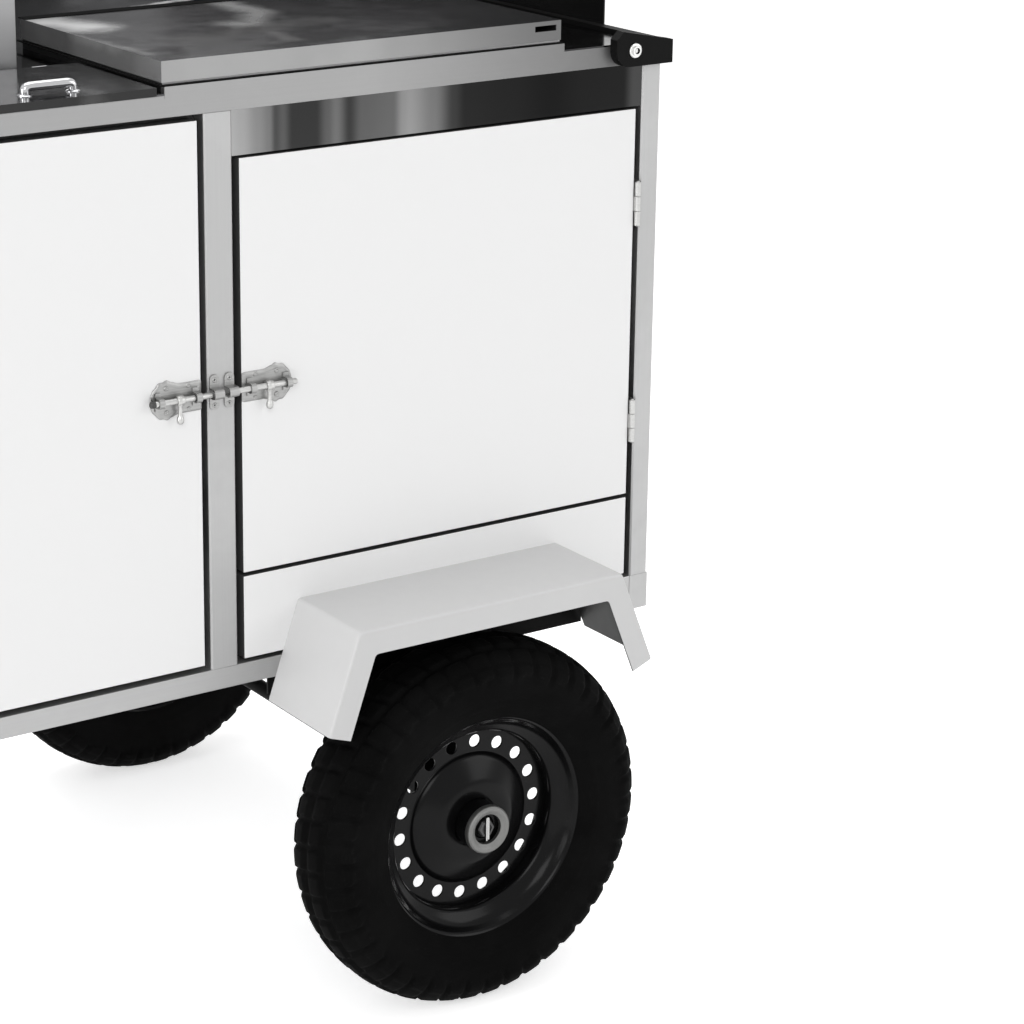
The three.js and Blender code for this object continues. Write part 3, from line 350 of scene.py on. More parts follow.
def build(name, parts, body, material, stands_for=(), sharp=40.0):
    """One object from parts of points and faces: shared points merged, normals turned out, edges sharp."""
    points, faces, start = [], [], 0
    for part_points, part_faces in parts:
        flat = np.asarray(part_points, dtype=float).reshape(-1, 3)
        points.append(flat)
        faces.extend([corner + start for corner in face] for face in part_faces)
        start += len(flat)
    mesh = bpy.data.meshes.new(name)
    mesh.from_pydata(np.concatenate(points).tolist(), [], faces)
    edit = bmesh.new()
    edit.from_mesh(mesh)
    bmesh.ops.remove_doubles(edit, verts=edit.verts, dist=0.000002)
    bmesh.ops.dissolve_degenerate(edit, edges=edit.edges, dist=0.000001)
    bmesh.ops.recalc_face_normals(edit, faces=edit.faces)
    edit.to_mesh(mesh)
    edit.free()
    mesh.polygons.foreach_set("use_smooth", np.ones(len(mesh.polygons), dtype=bool))
    mesh.set_sharp_from_angle(angle=math.radians(sharp))
    mesh.materials.append(material)
    made = bpy.data.objects.new(name, mesh)
    bpy.context.scene.collection.objects.link(made)
    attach(made, body)
    if stands_for:
        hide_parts(*stands_for)
    return made


def box_part(low, high):
    """A plain block between two corners, as two loops."""
    corners = [(0, 0), (1, 0), (1, 1), (0, 1)]
    ends = [[(low[0] if a == 0 else high[0], low[1] if b == 0 else high[1], z) for a, b in corners]
            for z in (low[2], high[2])]
    return loops(np.array(ends, float))


post_metal = brushed_metal("aluminium_posts", (ALUMINIUM_TONE,) * 3, 0.42, "z")
rail_metal = brushed_metal("aluminium_rails", (ALUMINIUM_TONE,) * 3, 0.42, "x")
edge_metal = brushed_metal("edge_profile_metal", (EDGE_TONE,) * 3, 0.38, "x")
# Painted shade: the edge profile darkens towards the right end.
paint_right_shade(edge_metal, EDGE_RIGHT_SHADE)
paint(post_metal, "post_front_left", "post_front_middle", "post_front_right", "post_rear_left",
      "post_rear_right", "leg_front", "leg_rear")
paint(rail_metal, "bottom_frame")
paint(edge_metal, "edge_profile")
soften(TUBE_CORNER, "bottom_frame", "edge_profile", "leg_front", "leg_rear", "post_rear_left",
       "post_rear_right", "post_front_middle")
post_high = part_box("post_front_right")[1]
rail_low, rail_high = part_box("bottom_frame")
square = post_high.y - rail_low.y
for end, side in (("front", 1), ("rear", -1)):
    outer, inner = side * (rail_low.y - POST_COVER), side * post_high.y
    low = (post_high.x - square, min(outer, inner), rail_low.z - POST_DROP)
    high = (post_high.x + POST_COVER, max(outer, inner), rail_high.z)
    build(f"post_end_{end}", [box_part(low, high)], "cabinet", post_metal)


# Worktop: polished stainless sheet. It mirrors a dark ceiling in the photograph, so its colour is held dark as
# painted reflection, with soft clouds and pale wiped streaks that are partly smears and partly painted
# reflection.
POLISHED_DARK = (0.050, 0.050, 0.051)
POLISHED_PALE = (0.15, 0.15, 0.155)
TOP_LEVEL = 1.0075
TOP_SMEAR_REFLECTIONS = (
    # from, to, half width and tone of each streak on the worktop
    ((0.1892, 0.1712), (0.3246, 0.2082), 0.016, 0.90),
    ((-0.0449, -0.2748), (-0.0551, -0.3111), 0.022, 0.12),
)
STREAK_METALLIC = 0.15
HATCH_FRONT_SHADE = 0.04
STEEP = 0.6


def facing_group():
    """Which way a face looks in the piece's own axes, from the share of its normal that lies along an axis.

    The first mask is one where that share is over the edge, and the second where its size is, so that this
    takes in the faces that look against the axis too.
    """
    tree, given, result = group_tree("facing", {"Axis": (0, 0, 1), "Edge": STEEP}, ("Along", "Either"))
    normal = add(tree, "TexCoord", {}).outputs["Normal"]
    share = add(tree, "VectorMath", {0: normal, 1: given["Axis"]}, "DOT_PRODUCT").outputs["Value"]
    size = add(tree, "Math", {0: share}, "ABSOLUTE").outputs[0]
    over = [add(tree, "Math", {0: part, 1: given["Edge"]}, "GREATER_THAN").outputs[0]
            for part in (share, size)]
    fill(tree, result, {"Along": over[0], "Either": over[1]})
    return tree


def smear_reflection_group():
    """A pale streak between two places, partly a smear and partly painted reflection.

    With p the Object place stirred by noise, t = (p - a).(b - a) / |b - a| squared, held between 0 and 1, and
    d = |p - a - t (b - a)|, the mask is a smooth step of 1 - d / width.
    """
    tree, given, result = group_tree("smear_reflection", {"From": (0, 0, 0), "To": (1, 0, 0), "Width": 0.02}, ("Mask",))

    def step(operation, first, second, output="Vector"):
        return add(tree, "VectorMath", {0: first, 1: second}, operation).outputs[output]

    place = add(tree, "TexCoord", {}).outputs["Object"]
    noise = add(tree, "TexNoise", {"Vector": place, "Scale": 38.0, "Detail": 4.0}).outputs["Color"]
    stir = add(tree, "VectorMath", {0: noise, 1: (0.03, 0.03, 0.0), 2: (-0.015, -0.015, 0.0)}, "MULTIPLY_ADD")
    run = step("SUBTRACT", given["To"], given["From"])
    reach = step("SUBTRACT", step("ADD", place, stir.outputs[0]), given["From"])
    share = add(tree, "Math", {0: step("DOT_PRODUCT", reach, run, "Value"),
                               1: step("DOT_PRODUCT", run, run, "Value")}, "DIVIDE")
    share.use_clamp = True
    along = add(tree, "VectorMath", {0: run, "Scale": share.outputs[0]}, "SCALE").outputs[0]
    off = step("DISTANCE", reach, along, "Value")
    fall = add(tree, "MapRange", {"Value": off, "From Min": given["Width"], "From Max": 0.0})
    fall.interpolation_type = "SMOOTHSTEP"
    fill(tree, result, {"Mask": fall.outputs["Result"]})
    return tree


FACING = facing_group()
SMEAR_REFLECTION = smear_reflection_group()


def facing(made, axis, mask="Along", edge=STEEP):
    """The mask of a material's faces that look along an axis, or along it and against it."""
    return use_group(made.node_tree, FACING, {"Axis": axis, "Edge": edge})[mask]


def cover(made, mask, tone):
    """Lays one tone over a material's base colour where a mask is one."""
    tree, socket = made.node_tree, principled(made).inputs["Base Color"]
    tree.links.new(mix_colours(tree, mask, socket.links[0].from_socket, (tone, tone, tone, 1)), socket)


def ripple(tree, shader, scale, strength, distance):
    """A fine unevenness of the surface: noise on Object coordinates, as bumps."""
    place = add(tree, "TexCoord", {}).outputs["Object"]
    noise = add(tree, "TexNoise", {"Vector": place, "Scale": scale}).outputs["Fac"]
    bump = add(tree, "Bump", {"Strength": strength, "Distance": distance, "Height": noise})
    fill(tree, shader, {"Normal": bump.outputs["Normal"]})


def polished(name, dark, pale, roughness=0.09, smear_reflections=(), level=0.0, haze=0.0):
    """Mirror-polished sheet: dark steel, paler clouds, hazy streaks of smear and painted reflection, a faint
    waviness.

    The streaks lie at one level. The haze is how far the whole sheet is dulled, as the streaks are.
    """
    made, tree, shader = new_material(name, {"Metallic": 1.0 - haze})
    clouds = use_group(tree, SMEARS, {"Size": 3.2, "Low": 0.5, "High": 0.82})["Mask"]
    marks = use_group(tree, SMEARS, {"Size": 11.0, "Low": 0.45, "High": 0.75})["Mask"]
    spread(tree, clouds, dark, pale, shader.inputs["Base Color"])
    spread(tree, marks, roughness, roughness * 2.2, shader.inputs["Roughness"])
    dulled = None
    # Each streak lays a pale tone and a low metallic on the sheet: partly smear, partly painted reflection.
    for start, end, width, tone in smear_reflections:
        mask = use_group(tree, SMEAR_REFLECTION, {"From": (*start, level), "To": (*end, level), "Width": width})["Mask"]
        cover(made, mask, tone)
        dulled = add(tree, "Math", {0: dulled, 1: mask}, "MAXIMUM").outputs[0] if dulled else mask
    if dulled:
        spread(tree, dulled, 1.0 - haze, STREAK_METALLIC, shader.inputs["Metallic"])
    ripple(tree, shader, 7.0, 0.25, 0.0012)
    return made


top_metal = polished("polished_top", POLISHED_DARK, POLISHED_PALE, smear_reflections=TOP_SMEAR_REFLECTIONS, level=TOP_LEVEL)
paint(top_metal, "worktop")
hatch_metal = polished("polished_hatch", POLISHED_DARK, POLISHED_PALE, smear_reflections=TOP_SMEAR_REFLECTIONS[1:], level=TOP_LEVEL)
# Painted shade: the hatch's faces that look to the front are coloured darker.
cover(hatch_metal, facing(hatch_metal, (0, -1, 0)), HATCH_FRONT_SHADE)
paint(hatch_metal, "ice_hatch")


# Cabinet sheets: white enamelled doors and panels, and a bright liner inside. The edge faces of the doors and
# the lower panel are coloured near black, as painted shade in the gaps round them.
ENAMEL_WHITE = (0.79, 0.79, 0.785)
PANEL_EDGE = 0.0008
GAP_SHADE_TONE = (0.06, 0.06, 0.06)
PANEL_FACE = 0.75
LINER_TONE = (0.55, 0.55, 0.56)


def enamel(name, tone, roughness=0.34, soil=0.03, shine=0.5):
    """Stoved enamel: an even tone, faintly cloudy, with the fine ripple that sprayed paint dries with."""
    made, tree, shader = new_material(name, {"Specular IOR Level": shine})
    marks = use_group(tree, SMEARS, {"Size": 2.4, "Low": 0.4, "High": 0.8})["Mask"]
    spread(tree, marks, tone, tuple(c * (1 - soil) for c in tone), shader.inputs["Base Color"])
    spread(tree, marks, roughness, roughness * 1.3, shader.inputs["Roughness"])
    ripple(tree, shader, 420.0, 0.12, 0.0002)
    return made


white_enamel = enamel("white_enamel", ENAMEL_WHITE)
paint(white_enamel, "side_panel_left", "side_panel_right", "rear_panel")
# Only faces that look to the front or back are white; the rest stay near black, as painted shade in the gaps.
gap_shade_enamel = enamel("gap_shade_enamel", GAP_SHADE_TONE)
cover(gap_shade_enamel, facing(gap_shade_enamel, (0, 1, 0), "Either", PANEL_FACE), ENAMEL_WHITE[0])
paint(gap_shade_enamel, "lower_panel_front", "door_left", "door_right")
soften(PANEL_EDGE, "lower_panel_front", "door_left", "door_right")
liner = brushed_metal("liner_sheet", LINER_TONE, 0.4, "x")
paint(liner, "floor_panel", "divider_panel")


# Fascia: a polished strip over the right door, with the street that it mirrors painted into its colour as
# upright
# bands, pale and dark: painted reflection. Each band is a stretch of the strip's length, counted from its left
# end.
FASCIA_PAINTED_REFLECTION = (
    # share of the length where the band starts, tone
    (0.000, 0.32), (0.022, 0.29), (0.061, 0.20), (0.086, 0.15), (0.100, 0.060), (0.117, 0.085),
    (0.139, 0.034), (0.193, 0.034), (0.220, 0.090), (0.240, 0.130), (0.271, 0.040), (0.301, 0.095),
    (0.374, 0.110), (0.399, 0.220), (0.413, 0.240), (0.472, 0.150), (0.521, 0.040), (0.550, 0.020),
    (0.658, 0.017), (0.768, 0.012), (0.853, 0.016), (0.951, 0.017), (0.980, 0.060),
)
fascia_low, fascia_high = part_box("fascia_front")
fascia_metal, tree, shader = new_material("fascia_mirror", {"Metallic": 1.0, "Roughness": 0.16})
axes = add(tree, "SeparateXYZ", {0: add(tree, "TexCoord", {}).outputs["Object"]})
along = add(tree, "MapRange", {
    "Value": axes.outputs["X"], "From Min": fascia_low.x, "From Max": fascia_high.x})
bands = add(tree, "ValToRGB", {"Fac": along.outputs["Result"]})
bands.color_ramp.interpolation = "EASE"
while len(bands.color_ramp.elements) < len(FASCIA_PAINTED_REFLECTION):
    bands.color_ramp.elements.new(1.0)
for stop, (start, tone) in zip(bands.color_ramp.elements, FASCIA_PAINTED_REFLECTION):
    stop.position = start
    stop.color = (tone, tone, tone, 1)
fill(tree, shader, {"Base Color": bands.outputs["Color"]})
paint(fascia_metal, "fascia_front")


# Seals: black rubber strips on the frame behind the two doors, pressed in place, which show as the dark lines
# round them.
SEAL_TONE = 0.045


def rubber(name, tone, dust=0.02, shine=0.5):
    """Rubber: nearly black, dull, with a fine tooth and a little grey dust."""
    made, tree, shader = new_material(name, {"Roughness": 0.75, "Specular IOR Level": shine})
    marks = use_group(tree, SMEARS, {"Size": 9.0, "Low": 0.45, "High": 0.8})["Mask"]
    spread(tree, marks, (tone,) * 3, (tone + dust,) * 3, shader.inputs["Base Color"])
    ripple(tree, shader, 900.0, 0.3, 0.0002)
    return made


seal_rubber = rubber("seal_rubber", SEAL_TONE)
paint(seal_rubber, "seal_left", "seal_right")


# Hinges: zinc-plated steel. The leaf on the door is folded round the pin as one knuckle, between the two
# knuckles of the post's leaf, and the pin is headed over above and below.
KNUCKLE_RADIUS = 0.00355
KNUCKLE_CHAMFER = 0.0004
KNUCKLE_CENTRE = 0.0034
LEAF_CORNER = 0.0002
PIN_HEAD_PROFILE = (
    # height over the knuckle and radius of the pin's closed head
    (0, 0), (0, 0.0024), (0.00066, 0.0020), (0.0011, 0.0008), (0.0011, 0),
)
ZINC_TONE = (0.56, 0.56, 0.55)


def spun(profile, start, axis, columns=32):
    """Pairs of distance and radius carried round an axis: the start, the axis times the distance, and the
    radius times the cosine and the sine of the turn along two directions square to the axis."""
    profile, start, axis = np.asarray(profile, float), np.asarray(start, float), np.asarray(axis, float)
    first = np.cross(axis, (0, 0, 1) if abs(axis[2]) < 0.9 else (1, 0, 0))
    first /= np.linalg.norm(first)
    second = np.cross(axis, first)
    turn = whole_turn(columns)
    around = np.cos(turn)[:, None] * first + np.sin(turn)[:, None] * second
    return loops(start + axis * profile[:, None, :1] + around[None] * profile[:, None, 1:])


def barrel(length):
    """The profile of a knuckle: a plain round barrel with a small chamfer at each end."""
    radius, chamfer = KNUCKLE_RADIUS, KNUCKLE_CHAMFER
    return [(0, 0), (0, radius - chamfer), (chamfer, radius), (length - chamfer, radius),
            (length, radius - chamfer), (length, 0)]


zinc = brushed_metal("zinc_plate", ZINC_TONE, 0.32, "x", smear=0.3)
for side in ("left", "right"):
    for level in ("lower", "upper"):
        leaf = f"hinge_leaf_{side}_{level}"
        paint(zinc, leaf)
        soften(LEAF_CORNER, leaf)
        low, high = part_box(leaf)
        pin_x = high.x - KNUCKLE_CENTRE if side == "right" else low.x + KNUCKLE_CENTRE
        pin_y = low.y + KNUCKLE_CENTRE
        third = (high.z - low.z) / 3
        gap = KNUCKLE_CHAMFER / 2
        middle = spun(barrel(third - 2 * gap), (pin_x, pin_y, low.z + third + gap), (0, 0, 1))
        build(f"hinge_knuckle_{side}_{level}", [middle], f"{side}_door", zinc)
        outer = [spun(barrel(third - gap), (pin_x, pin_y, z), (0, 0, 1))
                 for z in (low.z, high.z - third + gap)]
        heads = [spun(PIN_HEAD_PROFILE, (pin_x, pin_y, z), (0, 0, way))
                 for z, way in ((low.z, -1), (high.z, 1))]
        build(f"hinge_pin_{side}_{level}", outer + heads, "cabinet", zinc)


# Barrel bolts: each is a pressed zinc-plated plate with a raised bead inside its edge and a lobed far end,
# two strips bent over the round rod, a turned knob that hangs from the rod, and a keeper on the middle post.
PLATE_LENGTH = 0.058
PLATE_SHEET = 0.0013
PLATE_HALF_HEIGHT = 0.0200
PLATE_NECK = 0.78
PLATE_SWELL = (0.42, 0.68)
PLATE_LOBES = 0.035
PLATE_BEAD = 0.0007
BEAD_FROM_EDGE = 0.0032
BEAD_WIDTH = 0.0011
STRIP_SHEET = 0.0015
STRIP_HALF_WIDTH = 0.003
STRIP_GAP = 0.0007
STRIP_FOOT = 0.0092
STRIP_BEND = 0.0012
GUIDE_PLACES = (0.0080, 0.0500)
SCREW_PLACES = (0.0150, 0.0400)
SCREW_HEIGHT = 0.0125
KEEPER_HALF_WIDTH = 0.0055
SCREW_RADIUS = 0.0027
SCREW_PROFILE = (
    # height over the plate and share of the radius of a dished screw head, from its foot to its middle
    (0.0, 0.0), (0.0, 1.0), (0.0004, 0.97), (0.0009, 0.78), (0.0010, 0.60), (0.0007, 0.42), (0.0003, 0.30),
    (0.0003, 0.0),
)
KNOB_PROFILE = (
    # distance down from the rod's middle and radius: collar's boss, waist, stem and ball
    (0.0, 0.0), (0.0, 0.0036), (0.0048, 0.0034), (0.0062, 0.0024), (0.0130, 0.0020), (0.0158, 0.0023),
    (0.0178, 0.0033), (0.0205, 0.0038), (0.0228, 0.0033), (0.0243, 0.0018), (0.0247, 0.0),
)
COLLAR_HALF_LENGTH = 0.004
COLLAR_PROFILE = (
    # distance along the rod and radius of the knob's collar, between its two open ends
    (0, 0.0046), (0.0008, 0.0052), (0.0072, 0.0052), (0.0080, 0.0046),
)
ROD_NOSE = (0.0012, 0.72)
ROD_TAIL = (0.0010, 0.75)
CAP_LENGTH = 0.0052
CAP_LAP = 0.0015
CAP_CHAMFER = 0.0006
CAP_SHARE = 1.12
COLLAR_BORE_SHARE = 0.9
EAR_POINTS = 9
EAR_SCREW_SUNK = 0.8
# A darker copy of the zinc for the plates and keepers: painted shade.
SHADED_TONE = (0.44, 0.44, 0.435)


def soft_step(low, high, value):
    """Nought below the first value, one above the second, and between them 3t squared less 2t cubed."""
    t = np.clip((value - low) / (high - low), 0, 1)
    return t * t * (3 - 2 * t)


def rounded(corners, radii, steps=6):
    """A path with its corners rounded: each is cut back by its radius and bridged by a parabola of points."""
    corners = np.asarray(corners, dtype=float)
    path = [corners[:1]]
    t = np.linspace(0, 1, steps + 1)[:, None]
    for before, corner, after, radius in zip(corners[:-2], corners[1:-1], corners[2:], radii):
        back, on = before - corner, after - corner
        start = corner + back * min(0.48, radius / np.linalg.norm(back))
        end = corner + on * min(0.48, radius / np.linalg.norm(on))
        path.append((1 - t) ** 2 * start + 2 * t * (1 - t) * corner + t ** 2 * end)
    path.append(corners[-1:])
    return np.concatenate(path)


def pressed_plate(near, way, level, face):
    """A bolt's plate as loops along its length.

    The half height is a neck that swells to full height and then falls away as a circle, waved by small
    lobes. Each loop runs over the front and back along the rear. The front stands one sheet proud, with a
    bell-shaped bead at one distance from the edge.
    """
    head = 0.7 + 0.3 * np.sin(np.linspace(0, np.pi / 2, 25))
    u = np.concatenate([np.linspace(0, 0.7, 24)[:-1], head])[:, None]
    fall = np.sqrt(np.clip(1 - (np.clip(u - PLATE_SWELL[1], 0, 1) / (1 - PLATE_SWELL[1])) ** 2, 0, 1))
    neck = PLATE_NECK + (1 - PLATE_NECK) * soft_step(*PLATE_SWELL, u)
    lobes = 1 + PLATE_LOBES * np.sin(u * 40) * soft_step(0.5, 0.62, u)
    half = PLATE_HALF_HEIGHT * neck * fall * lobes * (0.93 + 0.07 * soft_step(0, 0.04, u))
    w = np.linspace(-1, 1, 25)[None, :]
    edge = np.minimum((1 - np.abs(w)) * half, np.minimum(u, 1 - u) * PLATE_LENGTH + 0 * w)
    bead = PLATE_BEAD * np.exp(-((edge - BEAD_FROM_EDGE) / BEAD_WIDTH) ** 2) * soft_step(0, 0.08, u)
    roll = PLATE_SHEET * (0.45 + 0.55 * soft_step(0, 0.0009, edge))
    x, z = near + way * PLATE_LENGTH * (u + 0 * w), level + w * half
    front, rear = np.stack([x, face - roll - bead, z], -1), np.stack([x, face + 0 * roll, z], -1)
    return loops(np.concatenate([front, rear[:, ::-1]], 1))


def heading(path):
    """The direction of a path at each of its points, of length one."""
    along = np.gradient(path, axis=0)
    return along / np.linalg.norm(along, axis=1, keepdims=True)


def strip(path, half_width, middle):
    """A bent strip that stands across x: loops of four corners along a path of (y, z) points.

    The sheet lies on the side of the path away from the door, along the path's direction turned a quarter,
    and the strip's half width may change from point to point.
    """
    along = heading(path)
    out = np.stack([along[:, 1], -along[:, 0]], 1) * STRIP_SHEET
    width = np.broadcast_to(half_width, len(path))
    sides = [(-1, 0), (-1, 1), (1, 1), (1, 0)]
    points = [np.column_stack([middle + a * width, path + b * out]) for a, b in sides]
    return loops(np.stack(points, 1))


def bridge(face, rod, level, foot, radius):
    """The (y, z) path of a strip over a rod: along the face, up beside it, half a turn over it, and back."""
    reach = radius + STRIP_GAP
    out = rod - reach
    corners = [(face, level + foot), (face, level + reach), (out, level + reach), (out, level - reach),
               (face, level - reach), (face, level - foot)]
    return rounded(corners, (STRIP_BEND, reach * 0.95, reach * 0.95, STRIP_BEND), 7)


def screw_head(x, z, face):
    """A dished screw head on a face that looks to the front."""
    profile = [(height, share * SCREW_RADIUS) for height, share in SCREW_PROFILE]
    return spun(profile, (x, face, z), (0, -1, 0), 24)


zinc_painted_shade = brushed_metal("zinc_shaded", SHADED_TONE, 0.34, "x", smear=0.5)
for side, way in (("left", -1), ("right", 1)):
    plate_low, plate_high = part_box(f"bolt_plate_{side}")
    rod_low, rod_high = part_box(f"bolt_rod_{side}")
    keeper_low, keeper_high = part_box(f"bolt_keeper_{side}")
    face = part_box(f"door_{side}")[0].y
    level, rod_y = (rod_low.z + rod_high.z) / 2, (rod_low.y + rod_high.y) / 2
    rod_radius = (rod_high.z - rod_low.z) / 2
    near = plate_low.x if way > 0 else plate_high.x
    tip = rod_low.x if way > 0 else rod_high.x
    plate_face = face - PLATE_SHEET
    guide = bridge(plate_face, rod_y, level, STRIP_FOOT, rod_radius)
    guides = [strip(guide, STRIP_HALF_WIDTH, near + way * along) for along in GUIDE_PLACES]
    screws = [screw_head(near + way * along, level + up * SCREW_HEIGHT, plate_face)
              for along in SCREW_PLACES for up in (-1, 1)]
    build(f"bolt_plate_pressed_{side}", [pressed_plate(near, way, level, face)] + guides + screws,
          f"{side}_door", zinc_painted_shade, [f"bolt_plate_{side}"], sharp=50)
    length = rod_high.x - rod_low.x
    (nose, nose_share), (tail, tail_share) = ROD_NOSE, ROD_TAIL
    rod_profile = [(0, 0), (0, rod_radius * nose_share), (nose, rod_radius), (length - tail, rod_radius),
                   (length, rod_radius * tail_share), (length, 0)]
    build(f"bolt_rod_round_{side}", [spun(rod_profile, (tip, rod_y, level), (way, 0, 0))], f"{side}_bolt",
          zinc, [f"bolt_rod_{side}"])
    knob_low, knob_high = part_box(f"bolt_knob_{side}")
    knob_x = (knob_low.x + knob_high.x) / 2
    inside = rod_radius * COLLAR_BORE_SHARE
    collar = [(0, inside), *COLLAR_PROFILE, (2 * COLLAR_HALF_LENGTH, inside)]
    build(f"bolt_knob_turned_{side}",
          [spun(collar, (knob_x - way * COLLAR_HALF_LENGTH, rod_y, level), (way, 0, 0)),
           spun(KNOB_PROFILE, (knob_x, rod_y, level), (0, 0, -1), 24)],
          f"{side}_knob", zinc, [f"bolt_knob_{side}"])
    # The left rod's tail takes a black cap that stands for the shade on that end: painted shade.
    if side == "left":
        wide = rod_radius * CAP_SHARE
        cap = [(0, 0), (0, inside), (CAP_CHAMFER, wide), (CAP_LENGTH, wide), (CAP_LENGTH, 0)]
        build("bolt_rod_shade_cap", [spun(cap, (rod_low.x - CAP_LAP, rod_y, level), (1, 0, 0))], "left_bolt",
              seal_rubber)
    keeper_x = (keeper_low.x + keeper_high.x) / 2
    foot = (keeper_high.z - keeper_low.z) / 2
    path = bridge(face, rod_y, level, foot, rod_radius)
    inwards = KEEPER_HALF_WIDTH * np.linspace(0, 1, EAR_POINTS)
    upper, lower = (np.stack([np.full(EAR_POINTS, face), z], 1)
                    for z in (level + foot - inwards, level - foot + inwards[::-1]))
    path = np.concatenate([upper, path[1:-1], lower])
    head = np.clip((np.abs(path[:, 1] - level) - foot + KEEPER_HALF_WIDTH) / KEEPER_HALF_WIDTH, 0, 1)
    width = KEEPER_HALF_WIDTH * np.sqrt(np.clip(1 - head ** 2, 0.0001, 1))
    ears = [screw_head(keeper_x, level + up * (foot - KEEPER_HALF_WIDTH), face - STRIP_SHEET * EAR_SCREW_SUNK)
            for up in (-1, 1)]
    build(f"bolt_keeper_bent_{side}", [strip(path, width, keeper_x)] + ears, "cabinet",
          zinc_painted_shade, [f"bolt_keeper_{side}"], sharp=50)


# Hot box: a stainless well with two pans, and a lid folded from polished sheet with a skirt all round. Under
# the skirt lies a black gasket, a trim brings the well's front level with the worktop's edge, and a black
# rubber strip along the lid's rear edge stands for the shade behind it: painted shade. The hatch beside it has
# a lip folded down over the edge profile.
# The lid's top is held dark as painted reflection; its front skirt is painted lighter and fully metallic and
# its ends a middle tone, as painted light; painted shade darkens it towards the right; its pale streaks are
# partly smears and partly painted reflection.
LID_DARK = (0.085, 0.085, 0.087)
LID_PALE = (0.14, 0.14, 0.143)
LID_FRONT_LIGHT = 0.34
LID_END_LIGHT = 0.22
LID_RIGHT_SHADE = 0.22
LID_HAZE = 0.55
LID_EDGE = 0.0008
SATIN_TONE = (0.42, 0.42, 0.425)
WELL_END_SHADE = 0.10
BLACK_RUBBER_TONE = 0.004
LID_LEVEL = 1.0384
LID_SMEAR_REFLECTIONS = (
    # from, to, half width and tone of each streak on the lid
    ((0.0068, -0.0324), (0.0326, -0.2570), 0.012, 0.20),
    ((0.0337, -0.0264), (0.0532, -0.0767), 0.054, 0.80),
    ((0.2529, -0.0202), (0.2541, -0.0862), 0.032, 0.36),
    ((0.2541, -0.0862), (0.1981, -0.1678), 0.028, 0.32),
    ((0.1947, -0.1428), (0.1992, -0.1760), 0.034, 0.36),
    ((0.1992, -0.1760), (0.1937, -0.2606), 0.018, 0.17),
    ((0.0973, -0.2000), (0.2817, -0.1667), 0.040, 0.10),
)
GASKET = 0.0012
GASKET_OUT = 0.003
TRIM_GAP = 0.0003
TRIM_LAP = 0.003
LIP_GAP = 0.0002
LIP_SHEET = 0.0006
FLAP_DEPTH = 0.018
FLAP_SHEET = 0.0008

black_rubber = rubber("black_rubber", BLACK_RUBBER_TONE, dust=0.002, shine=0.04)
satin = brushed_metal("satin_steel", SATIN_TONE, 0.3, "x")
well_metal = brushed_metal("well_steel", SATIN_TONE, 0.3, "x")
# Painted shade: the well's faces that look to the left are coloured dark.
cover(well_metal, facing(well_metal, (-1, 0, 0)), WELL_END_SHADE)
paint(well_metal, "hot_well")
paint(satin, "hot_pan_left", "hot_pan_right", "burner", "ice_well", "condiment_box")
lid_metal = polished("polished_lid", LID_DARK, LID_PALE, smear_reflections=LID_SMEAR_REFLECTIONS, level=LID_LEVEL, haze=LID_HAZE)
# Painted light on the lid's front skirt and ends, and painted shade towards its right end.
lid_front = facing(lid_metal, (0, -1, 0))
cover(lid_metal, lid_front, LID_FRONT_LIGHT)
cover(lid_metal, facing(lid_metal, (1, 0, 0), "Either"), LID_END_LIGHT)
paint_right_shade(lid_metal, LID_RIGHT_SHADE)
tree, metallic = lid_metal.node_tree, principled(lid_metal).inputs["Metallic"]
skirt_metal = add(tree, "Mix", {0: lid_front, 2: metallic.links[0].from_socket, 3: 1.0})
tree.links.new(skirt_metal.outputs[0], metallic)
paint(lid_metal, "hot_lid")
soften(LID_EDGE, "hot_lid", "condiment_box", "hot_pan_left", "hot_pan_right")
lid_low, lid_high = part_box("hot_lid")
well_low, well_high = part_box("hot_well")
edge_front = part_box("edge_profile")[0].y
left, front = lid_low.x - GASKET_OUT, edge_front + TRIM_GAP
right, rear = lid_high.x + TRIM_GAP, lid_high.y
inner_left, inner_front, inner_right = well_low.x - TRIM_GAP, well_low.y - TRIM_GAP, well_high.x + TRIM_GAP
sides = (((left, front), (right, inner_front)), ((left, inner_front), (inner_left, rear)),
         ((inner_right, inner_front), (right, rear)))
build("lid_gasket", [box_part((*a, lid_low.z - GASKET), (*b, lid_low.z - TRIM_GAP / 2)) for a, b in sides],
      "cabinet", black_rubber)
build("well_trim", [box_part((lid_low.x - TRIM_GAP, edge_front - TRIM_GAP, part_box("worktop")[0].z - TRIM_LAP),
                             (lid_high.x + TRIM_GAP, well_low.y, lid_low.z - GASKET))],
      "cabinet", edge_metal)
# A black strip along the lid's rear edge: painted shade behind the lid.
flap_low = (lid_low.x + TRIM_GAP, lid_high.y - FLAP_DEPTH, lid_high.z - LIP_GAP)
flap_high = (lid_high.x - TRIM_GAP, lid_high.y - LIP_GAP, lid_high.z + FLAP_SHEET)
build("lid_rear_shade_strip", [box_part(flap_low, flap_high)], "lid", black_rubber)
hatch_low, hatch_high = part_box("ice_hatch")
lip_face = edge_front - LIP_GAP
lip_top = box_part((hatch_low.x, lip_face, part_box("worktop")[1].z + LIP_GAP),
                   (hatch_high.x, hatch_low.y, hatch_high.z))
lip_fold = box_part((hatch_low.x, lip_face - LIP_SHEET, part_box("edge_profile")[1].z + LIP_GAP),
                    (hatch_high.x, lip_face, hatch_high.z))
build("hatch_lip", [lip_top, lip_fold], "hatch", hatch_metal)


